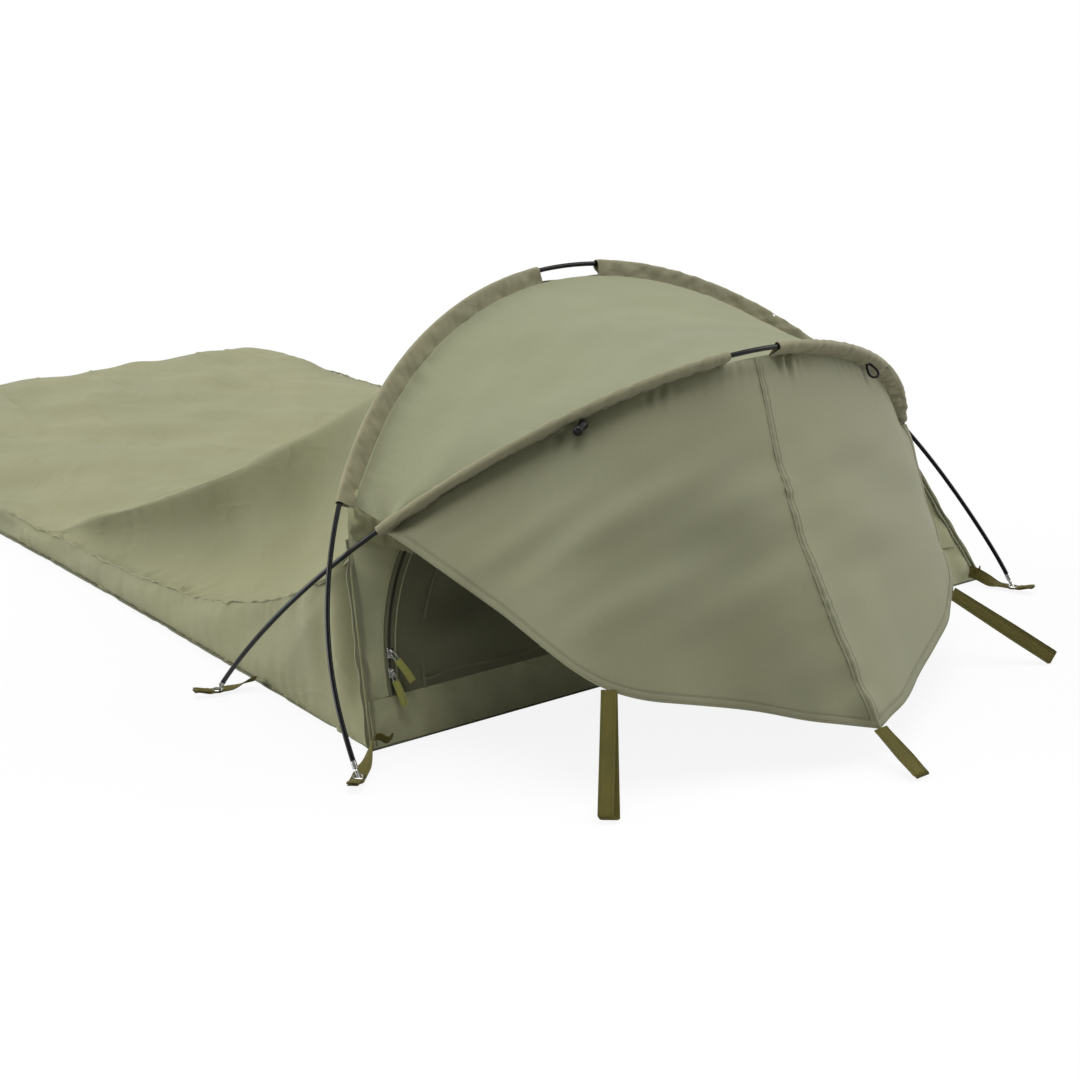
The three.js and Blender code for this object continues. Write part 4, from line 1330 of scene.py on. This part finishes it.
@dataclass
class PoleSet:
    """One hoop: three pole sections, ferrules, tips and two cloth sleeves."""

    room: Workroom
    word: str
    hoop: Hoop
    body: str
    sleeves: tuple[float, float, float, float]
    joints: tuple[float, float] = (62.0, 118.0)
    radius: float = 0.0035
    ferrule: tuple[float, float] = (0.0044, 0.034)
    tip: tuple[float, float] = (0.0024, 0.024)
    gap: float = 0.0004

    def seam(self, angle: Array) -> Array:
        """The sewn edge of this hoop's sleeves."""
        return rear_seam(angle) if self.word == "rear" else front_seam(angle)

    def build(self) -> list[Object]:
        """Makes the poles and sleeves.

        Returns:
            The two sleeves.
        """
        feet = [self.hoop.angle_at(self.tip[1]), self.hoop.angle_at(self.tip[1], Side.RIGHT)]
        stops = [feet[0], *self.joints, feet[1]]
        for index in range(3):
            trim = self.ferrule[1] / 2 + self.gap
            start = self.hoop.along(stops[index], self.gap if index == 0 else trim)
            end = self.hoop.along(stops[index + 1], -self.gap if index == 2 else -trim)
            line = self.hoop.point(np.linspace(start, end, 120))
            name = f"{self.word}_pole_{index + 1}"
            self.room.fit(self.room.rod(name, line, self.radius, POLE_GLOSS, 28), self.body,
                          f"{self.word}_pole_section_{index + 1}")
        for index, angle in enumerate(self.joints):
            self._ferrule(index + 1, angle)
        for side, foot in zip(Side, feet):
            self._tip(side, foot)
        ends = zip(Side, self.sleeves[::2], self.sleeves[1::2])
        return [self._sleeve(side, start, end) for side, start, end in ends]

    def _ferrule(self, number: int, angle: float) -> None:
        """A metal joint with rolled ends."""
        half = self.ferrule[1] / 2
        line = self.hoop.point(np.linspace(self.hoop.along(angle, -half), self.hoop.along(angle, half), 40))
        share = np.abs(np.linspace(-1, 1, 40))
        rolled = 0.05 * np.exp(-(((share - 0.86) / 0.04) ** 2))
        radius = self.ferrule[0] * (1 - 0.12 * smooth(0.93, 1.0, share) + rolled)
        self.room.fit(self.room.rod(f"{self.word}_ferrule_{number}", line, radius, PLATED, 28), self.body,
                      f"{self.word}_pole_ferrule_{number}")

    def _tip(self, side: Side, foot: float) -> None:
        """The pin at a pole's foot, with a collar under the pole's end."""
        ground = self.hoop.angle_at(self.tip[0] + self.gap, side)
        line = self.hoop.point(np.linspace(ground, foot, 50))
        share = np.linspace(0, 1, 50)
        radius = self.tip[0] * (0.55 + 0.45 * smooth(0, 0.12, share))
        radius = radius + 0.0014 * smooth(0.6, 0.66, share) + 0.0007 * np.exp(-(((share - 0.5) / 0.03) ** 2))
        self.room.fit(self.room.rod(f"{self.word}_tip_{side.word}", line, radius, PLATED, 24), self.body,
                      f"{self.word}_pole_tip_{side.word}")

    def _sleeve(self, side: Side, start: float, end: float) -> Object:
        """A cloth channel round the pole, closed by its seam."""
        share, loop = grid_uv(170, 30)
        angle = lerp(start, end, share)
        pole = self.hoop.point(angle)
        run = self.hoop.run(angle)
        drop = self.seam(angle) - pole
        hang = drop - run * np.sum(drop * run, axis=-1, keepdims=True)
        depth = np.linalg.norm(hang, axis=-1) + 0.004
        hang = unit(hang)
        across = np.cross(run, hang)
        turn = (loop * 2 - 1) * math.pi
        outer = 0.0056
        reach = np.where(np.cos(turn) > 0, -np.cos(turn) * outer, -np.cos(turn) * depth)
        narrow = np.where(reach < 0, 1.0, 1 - 0.82 * smooth(0, 1, reach / depth))
        half = np.abs(np.sin(turn)) ** 0.8 * outer * narrow + 0.0006 * np.clip(reach / depth, 0, 1)
        length = share * float(np.linalg.norm(self.hoop.point(end) - self.hoop.point(start)))
        tight = 0.5 + 0 * share
        if (self.word, side) == ("front", Side.RIGHT):
            tight = tight + 0.9 * smooth(0.5, 0.9, share)
        fold = Ripple(121 + len(self.word) + side.value, 0.02, 2.5)(length + 0.8 * reach, reach)
        half = half * (1 + 0.25 * fold * tight)
        grid = (pole + hang * (reach * (1 + 0.02 * fold * tight))[..., None]
                + across * (np.sign(turn) * half)[..., None])
        middle = smooth(0.0, 0.5, reach / depth) * (1 - smooth(0.8, 1.0, reach / depth))
        pucker = 0.0022 * fold * tight * middle + 0.0007 * middle * Ripple(127, 0.05)(length, reach)
        grid = grid + across * pucker[..., None]
        piece = self.room.sheet(f"{self.word}_sleeve_cloth_{side.word}", grid, 0.0009, SLEEVE_CLOTH)
        return self.room.fit(piece, self.body, f"{self.word}_sleeve_{side.word}")


@dataclass
class Canopy:
    """The cloth between the two hoops."""

    room: Workroom
    cloth: float = 0.0014
    steps: tuple[int, int] = (190, 80)
    sag: float = 0.02
    rear_ends: tuple[float, float] = (44.5, 135.5)
    front_ends: tuple[float, float] = (31.0, 149.0)
    width: float = 1.15

    def build(self) -> None:
        """Makes the canopy between the two hoops' seams."""
        u, v = grid_uv(*self.steps)
        rear = rear_seam(lerp(*self.rear_ends, u), -0.001)
        front = front_seam(lerp(*self.front_ends, u))
        span = np.linalg.norm(front - rear, axis=-1)
        grid = lerp(rear, front, v[..., None])
        grid[..., 2] -= self.sag * span * np.sin(math.pi * v)
        along, away = u * self.width, v * span
        calm = np.sin(math.pi * v)
        height = 0.004 * Ripple(141, 0.34)(along, away) * calm
        height += 0.0012 * Ripple(142, 0.1, 2.0)(away, along) * calm
        height += 0.0013 * gathers(143, along, span - away, 0.024, 0.03) * smooth(0.0, 0.012, span - away)
        height += 0.0009 * gathers(144, along, away, 0.03, 0.03) * smooth(0.0, 0.012, away)
        left = np.hypot(along, (1 - v) * span)
        fan = np.sin(np.arctan2((1 - v) * span, along + 0.01) * 9)
        height += 0.004 * fan * np.exp(-left / 0.09) * smooth(0, 0.03, left)
        piece = self.room.sheet("canopy_cloth_panel", raised(grid, height), self.cloth, CANOPY_CLOTH)
        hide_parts("canopy")
        bend_with_hoop(piece)
        self.room.report(piece, "bag and front_hoop")
        self.room.declare(piece, "stretched", ["rear_sleeve_cloth_left", "front_sleeve_cloth_left"])


@dataclass
class Gussets:
    """The gathered cloth that joins each end of the canopy to the head wall."""

    room: Workroom
    cloth: float = 0.0014

    def build(self) -> None:
        """Makes both gussets."""
        for side in Side:
            u, v = grid_uv(40, 36)
            rear = rear_seam(np.array(44.5 if side is Side.LEFT else 135.5), -0.002)
            front = front_seam(np.array(31.0 if side is Side.LEFT else 149.0))
            top = lerp(rear, front, u[..., None])
            x = lerp(FORM.corner_x(np.array(0.262), np.array(float(side.value))), side.value * 0.46, u)
            low = on_wall(x, lerp(0.262, 0.228, u), 0.001)
            grid = lerp(top, low, v[..., None])
            height = 0.0034 * np.sin(u * 26 + v * 5) * np.sin(math.pi * v) * smooth(0.15, 0.6, u)
            height += 0.0012 * Ripple(151, 0.05)(u * 0.1, v * 0.08)
            piece = self.room.sheet(f"canopy_gusset_{side.word}", raised(grid, height * smooth(0, 0.1, v)),
                                    self.cloth, BAG_CLOTH)
            bend_with_hoop(piece)
            self.room.report(piece, "bag and front_hoop")
            self.room.declare(piece, "gathered", ["head_wall_cloth"])


def bend_with_hoop(piece: Object) -> None:
    """Bakes a piece's placement into its mesh; the piece is not made to bend."""
    start = rear_seam(np.array(90.0)) + np.array([0, HEAD_EDGE, 0])
    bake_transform(piece)


@dataclass
class Awning:
    """The two awning panels with their seam, hem, toggle and elastic loop."""

    room: Workroom
    cloth: float = 0.0014
    steps: tuple[int, int] = (110, 100)
    hem_width: float = 0.013
    toggle: tuple[float, float, float] = (57.0, 0.024, 0.0135)
    ring: tuple[float, float, float] = (122.0, 0.024, 0.004)
    ring_turn: float = -0.75
    body: str = "front_hoop"

    def build(self) -> None:
        """Makes the awning."""
        for side, start, end in ((Side.LEFT, 0.0, 0.5), (Side.RIGHT, 0.5, 1.0)):
            u, v = grid_uv(*self.steps)
            grid = AWNING.dressed(lerp(start, end, u), v)
            panel = self.room.sheet(f"awning_panel_{side.word}", grid, self.cloth, AWNING_CLOTH)
            self.room.fit(panel, self.body, f"awning_{side.word}")
            hem = self._hem(side, start, end)
            self.room.declare(panel, "hung", ["front_sleeve_cloth_left"], [hem])
        self._seam()
        self._fittings()

    def _hem(self, side: Side, start: float, end: float) -> Object:
        """The doubled and stitched lower edge of a panel."""
        share, v = grid_uv(200, 6)
        u = lerp(start, end, share)
        length = np.linalg.norm(AWNING.hem(u) - AWNING.top(u), axis=-1)
        grid = AWNING.dressed(u, lerp(1 - self.hem_width / length, 1.0, v))
        piece = self.room.sheet(f"awning_hem_band_{side.word}", grid, 0.0032, HEM_CLOTH)
        return self.room.fit(piece, self.body, f"awning_hem_{side.word}")

    def _seam(self) -> None:
        """The felled seam down the middle of the awning."""
        share, v = grid_uv(8, 240)
        grid = AWNING.dressed(lerp(0.4945, 0.5055, share), v * 0.985)
        pucker = 0.0004 * Ripple(111, 0.016)(v * 0.5, share * 0)
        bulge = -0.0009 - 0.0003 * np.cos((share - 0.5) * math.pi * 4) + pucker
        grid = raised(grid, bulge).transpose(1, 0, 2)
        piece = self.room.sheet("awning_seam_fell", grid, 0.0014, HEM_CLOTH)
        self.room.fit(piece, self.body, "awning_seam_tape")

    def _fittings(self) -> None:
        """The roll-up toggle and its elastic loop."""
        seam, place, out = self._outside(*self.toggle)
        low_half = [(0.0, -0.013), (0.0044, -0.013), (0.006, -0.0116), (0.007, -0.0094), (0.0064, -0.006)]
        high_half = [(radius, -height) for radius, height in reversed(low_half)]
        outline = [*low_half, (0.0054, 0.0), *high_half]
        barrel = self.room.turned("toggle_barrel", outline, place, np.array([1.0, 0.5, 0.35]), BLACK_PLASTIC)
        self.room.fit(barrel, "toggle", "rollup_toggle")
        share = np.linspace(0, 1, 20)[:, None]
        for index, shift in enumerate((-0.0025, 0.0025)):
            line = lerp(seam, place, share) + np.array([shift, 0, 0]) * np.sin(math.pi * share)
            cord = self.room.rod(f"toggle_elastic_{index + 1}", line, 0.0012, BLACK_PLASTIC, 10)
            self.room.fit(cord, "toggle")
        seam, place, out = self._outside(*self.ring)
        drop = unit(place - seam)
        wide = np.cross(drop, out) * math.cos(self.ring_turn) + out * math.sin(self.ring_turn)
        angle = np.linspace(0, math.tau, 60, endpoint=False)
        loop = (seam + out * 0.01 + drop * (0.0145 - 0.0115 * np.cos(angle))[:, None]
                + wide * (0.0072 * np.sin(angle) * (1 - 0.35 * np.cos(angle)))[:, None])
        ring = self.room.rod("elastic_ring", loop, 0.0019, BLACK_PLASTIC, 12, closed=True)
        self.room.fit(ring, "elastic", "rollup_loop")

    @staticmethod
    def _outside(angle: float, below: float, clear: float) -> tuple[Array, Array, Array]:
        """A place on the outside of the awning just under the front sleeve.

        Args:
            angle: where on the front hoop, in degrees.
            below: how far under the seam.
            clear: how far out from the cloth.

        Returns:
            The seam's point, the place and the cloth's outward direction.
        """
        u = (angle - 32.0) / 116.0
        step = 0.05
        patch_u, patch_v = np.meshgrid([u - step, u, u + step], [0.0, step, 2 * step], indexing="ij")
        patch = AWNING.surface(patch_u, patch_v)
        out = -normals_of(patch)[1, 1]
        seam = patch[1, 0]
        fall = unit(patch[1, 2] - seam)
        return seam, seam + fall * below + out * clear, out


# ---------------------------------------------------------------- webbing


@dataclass
class Webbings:
    """Stake loops, foot straps and the grommets that hold the pole tips."""

    room: Workroom
    width: float = 0.02
    thickness: float = 0.0014
    height: float = 0.0058
    bore: float = 0.0054
    flange: float = 0.009
    slip: float = 0.0065
    stakes: dict[str, tuple[float, float]] = field(default_factory=lambda: {
        "left": (-0.416 * BAG_WIDTH, -0.374),
        "centre": (-0.089 * BAG_WIDTH, -0.523),
        "right": (0.305 * BAG_WIDTH, -0.346),
    })
    twists: dict[str, float] = field(default_factory=lambda: {"left": 0.0, "centre": 0.15, "right": 0.9})

    def build(self) -> None:
        """Makes all the webbing."""
        hems = {"left": AWNING.left, "centre": AWNING.centre, "right": AWNING.right}
        for word, stake in self.stakes.items():
            self._stake_loop(word, np.array(hems[word]), np.array([stake[0], stake[1], 0.0045]))
        for word, hoop in (("rear", REAR_HOOP), ("front", FRONT_HOOP)):
            for side in Side:
                self._foot_strap(word, hoop, side)

    def _stake_loop(self, word: str, top: Array, end: Array) -> None:
        """A doubled strap from the hem to the ground, open a little at its end."""
        run = unit(end - top)
        level = unit(np.array([run[1], -run[0], 0.0]))
        twist = self.twists[word]
        side = level * math.cos(twist) + np.cross(run, level) * math.sin(twist)
        out = unit(np.cross(side, run))
        length = float(np.linalg.norm(end - top))
        down = np.linspace(0, 1, 60)
        fold = np.linspace(-math.pi / 2, math.pi / 2, 16)[1:-1]
        eye = 0.0038
        gap = 0.0011 + (eye - 0.0011) * smooth(0.55, 1.0, down)
        front = top + run * (down * (length - eye))[:, None] + out * gap[:, None]
        back = top + run * (down[::-1] * (length - eye))[:, None] - out * gap[::-1, None]
        back = back - side * (0.001 + self.slip * down[::-1])[:, None]
        turn = top + run * (length - eye + np.cos(fold) * eye)[:, None] - out * (np.sin(fold) * eye)[:, None]
        slant = ((0.001 + self.slip) * np.linspace(0, 1, len(fold)))[:, None]
        line = np.concatenate([front, turn - side * slant, back])
        line[:, 2] = np.maximum(line[:, 2], 0.002 + abs(side[2]) * self.width / 2)
        piece = self.room.ribbon(f"stake_webbing_{word}", line, np.tile(side, (len(line), 1)), self.width,
                                 self.thickness, WEBBING)
        self.room.fit(piece, f"stake_{word}", f"stake_loop_{word}")

    def _foot_strap(self, word: str, hoop: Hoop, side: Side) -> None:
        """A strap from the bag's edge to a grommet, with a folded tail beyond it."""
        angle = hoop.angle_at(self.height, side)
        tip = hoop.point(angle)
        start = np.array([side.value * (HALF + 0.001), hoop.foot_y - 0.024, self.height])
        if word == "rear":
            start[0] = side.value * min(HALF, tip[0] * side.value - 0.024)
            start[1] = -0.003
        run = np.array([tip[0] - start[0], tip[1] - start[1], 0.0])
        length = float(np.linalg.norm(run))
        run = run / length
        across = np.array([-run[1], run[0], 0.0])
        share = np.linspace(0, 1, 70)
        reach = share * (length + 0.036)
        line = start + run * reach[:, None]
        rise, tip_over = (0.014, 2.4) if word == "rear" else (0.007, 0.8)
        lift = (rise * smooth(length * 0.7, 0.0, reach)
                + 0.0045 * smooth(length + 0.012, length + 0.034, reach))
        line[:, 2] = self.height + lift
        width = 0.02 * (1 - 0.3 * smooth(length + 0.01, length + 0.036, reach))
        tilt = across + np.array([0, 0, 1.0]) * (tip_over * smooth(length * 0.75, 0.0, reach))[:, None]
        name = f"{word}_strap_webbing_{side.word}"
        strap = self.room.ribbon(name, line, tilt, width, self.thickness, WEBBING)
        self.room.fit(strap, "bag", f"{word}_foot_strap_{side.word}")
        tail_reach = np.linspace(length + 0.012, length + 0.035, 20)
        tail = start + run * tail_reach[:, None]
        tail[:, 2] = self.height + 0.002 + 0.0045 * smooth(length + 0.012, length + 0.034, tail_reach)
        piece = self.room.ribbon(f"{word}_strap_tail_{side.word}", tail, np.tile(across, (20, 1)), 0.017,
                                 self.thickness, WEBBING, 0.001)
        self.room.fit(piece, "bag")
        self._grommet(word, side, tip)
        if word == "rear":
            self._corner_tail(side)

    def _grommet(self, word: str, side: Side, tip: Array) -> None:
        """A plated ring set through the strap."""
        low, high = -0.0016, 0.0016
        bore, flange = self.bore, self.flange
        outline = [
            (bore, low), (bore + 0.0008, low - 0.0006), (flange - 0.0006, low - 0.0004), (flange, low),
            (flange - 0.0004, low + 0.0004), (bore + 0.0012, low + 0.0006),
            (bore + 0.0012, high - 0.0006), (flange - 0.0004, high - 0.0004), (flange, high),
            (flange - 0.0006, high + 0.0004), (bore + 0.0008, high + 0.0008), (bore, high),
        ]
        centre = np.array([tip[0], tip[1], self.height])
        ring = self.room.turned(f"{word}_eyelet_{side.word}", outline, centre, np.array([0, 0, 1.0]), PLATED)
        self.room.fit(ring, "bag", f"{word}_grommet_{side.word}")

    def _corner_tail(self, side: Side) -> None:
        """The short webbing end sewn into a head corner."""
        share = np.linspace(0, 1, 24)
        start = np.array([side.value * (HALF - 0.004), -0.002, 0.02])
        rise = -0.004 * share + 0.002 * np.sin(share * 9)
        line = start + vec(-side.value * 0.024 * share, -0.01 * np.sin(share * 2.6), rise)
        tilt = np.tile([0.1, -0.35, 1.0], (24, 1))
        piece = self.room.ribbon(f"corner_tail_{side.word}", line, tilt, 0.011, self.thickness, WEBBING)
        self.room.fit(piece, "bag")


# ---------------------------------------------------------------- studio


@dataclass
class Studio:
    """White floor, soft light and the camera."""

    place: tuple[float, float, float] = (-1.8546, -2.0965, 0.9970)
    pitch: float = 0.2829
    turn: float = -0.6332
    roll: float = -0.0191
    lens: float = 65.19
    floor_size: float = 80.0
    floor_shade: float = 0.62
    floor_glow: float = 1.02
    glow_share: float = 0.87
    daylight: tuple[float, float] = (0.25, 1.3)

    def build(self) -> None:
        """Sets up the camera, floor, world and lights."""
        self._camera()
        self._floor()
        self._world()
        self._lights()

    def _camera(self) -> None:
        """The camera, from its height, pitch, turn and roll."""
        data = bpy.data.cameras.new("studio_camera")
        data.lens = self.lens
        data.sensor_width = 36.0
        data.clip_end = 200.0
        level = math.cos(self.pitch)
        ahead = np.array([-math.sin(self.turn) * level, math.cos(self.turn) * level, -math.sin(self.pitch)])
        right = np.array([math.cos(self.turn), math.sin(self.turn), 0.0])
        up = np.cross(right, ahead)
        right2 = right * math.cos(self.roll) + up * math.sin(self.roll)
        up2 = up * math.cos(self.roll) - right * math.sin(self.roll)
        camera = bpy.data.objects.new("studio_camera", data)
        turned = Matrix((right2, up2, -ahead)).transposed().to_4x4()
        camera.matrix_world = Matrix.Translation(Vector(self.place) + Vector((0, HEAD_EDGE, 0))) @ turned
        bpy.context.scene.collection.objects.link(camera)
        bpy.context.scene.camera = camera

    def _floor(self) -> None:
        """A wide white floor."""
        half = self.floor_size / 2
        mesh = bpy.data.meshes.new("studio_floor")
        corners = [(-half, -half, 0), (half, -half, 0), (half, half, 0), (-half, half, 0)]
        mesh.from_pydata(corners, [], [(0, 1, 2, 3)])
        made = bpy.data.materials.new("studio_white")
        made.use_nodes = True
        surface = made.node_tree.nodes["Principled BSDF"]
        surface.inputs["Base Color"].default_value = (*[self.floor_shade] * 3, 1.0)
        surface.inputs["Roughness"].default_value = 0.9
        surface.inputs["Specular IOR Level"].default_value = 0.1
        w = Wiring(made.node_tree)
        glow = w.add("ShaderNodeEmission")
        glow.inputs["Strength"].default_value = self.floor_glow
        mixed = w.add("ShaderNodeMixShader")
        path = w.add("ShaderNodeLightPath")
        w.feed(mixed.inputs[0], w.math("MULTIPLY", path.outputs["Is Camera Ray"], self.glow_share))
        w.feed(mixed.inputs[1], surface.outputs[0])
        w.feed(mixed.inputs[2], glow.outputs[0])
        w.feed(made.node_tree.nodes["Material Output"].inputs[0], mixed.outputs[0])
        mesh.materials.append(made)
        floor = bpy.data.objects.new("studio_floor", mesh)
        floor.location.z = -0.0005
        bpy.context.scene.collection.objects.link(floor)

    def _world(self) -> None:
        """Even white surroundings, brighter to the eye than as light."""
        world = bpy.data.worlds.new("studio_world")
        bpy.context.scene.world = world
        world.use_nodes = True
        w = Wiring(world.node_tree)
        ground = world.node_tree.nodes["Background"]
        ground.inputs[0].default_value = (1.0, 1.0, 1.0, 1.0)
        path = w.add("ShaderNodeLightPath")
        w.feed(ground.inputs[1], w.span(path.outputs["Is Camera Ray"], 0, 1, *self.daylight))

    def _lights(self) -> None:
        """Soft overhead light from behind, with weaker light from both sides."""
        for name, energy, spread, direction in (
            ("overhead", 2.3, 50, (-0.1, -0.12, -1.0)),
            ("right_side", 1.6, 45, (-1.0, 0.35, -0.6)),
            ("left_side", 2.3, 40, (1.0, -0.8, -0.4)),
        ):
            data = bpy.data.lights.new(name, "SUN")
            data.energy = energy
            data.angle = math.radians(spread)
            lamp = bpy.data.objects.new(name, data)
            lamp.rotation_euler = Vector(direction).to_track_quat("-Z", "Y").to_euler()
            bpy.context.scene.collection.objects.link(lamp)
        view = bpy.context.scene.view_settings
        view.view_transform = "Standard"
        view.look = "None"


def clear_startup() -> None:
    """Removes the objects of Blender's own startup scene."""
    for name in ("Cube", "Light", "Camera"):
        stray = bpy.data.objects.get(name)
        if stray is not None:
            bpy.data.objects.remove(stray, do_unlink=True)


def main() -> None:
    """Builds the whole bivy sack."""
    logging.basicConfig(level=logging.INFO, format="%(name)s: %(message)s")
    clear_startup()
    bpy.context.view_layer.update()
    Studio().build()
    room = Workroom(Wardrobe())
    for word, hoop, body, sleeves in (("rear", REAR_HOOP, "bag", REAR_SLEEVES),
                                      ("front", FRONT_HOOP, "front_hoop", FRONT_SLEEVES)):
        PoleSet(room, word, hoop, body, sleeves).build()
    SleepingBag(room).build()
    HeadEnd(room).build()
    Canopy(room).build()
    Gussets(room).build()
    Awning(room).build()
    Webbings(room).build()
    log.info("%d pieces built", room.count)


if __name__ == "__main__":
    main()
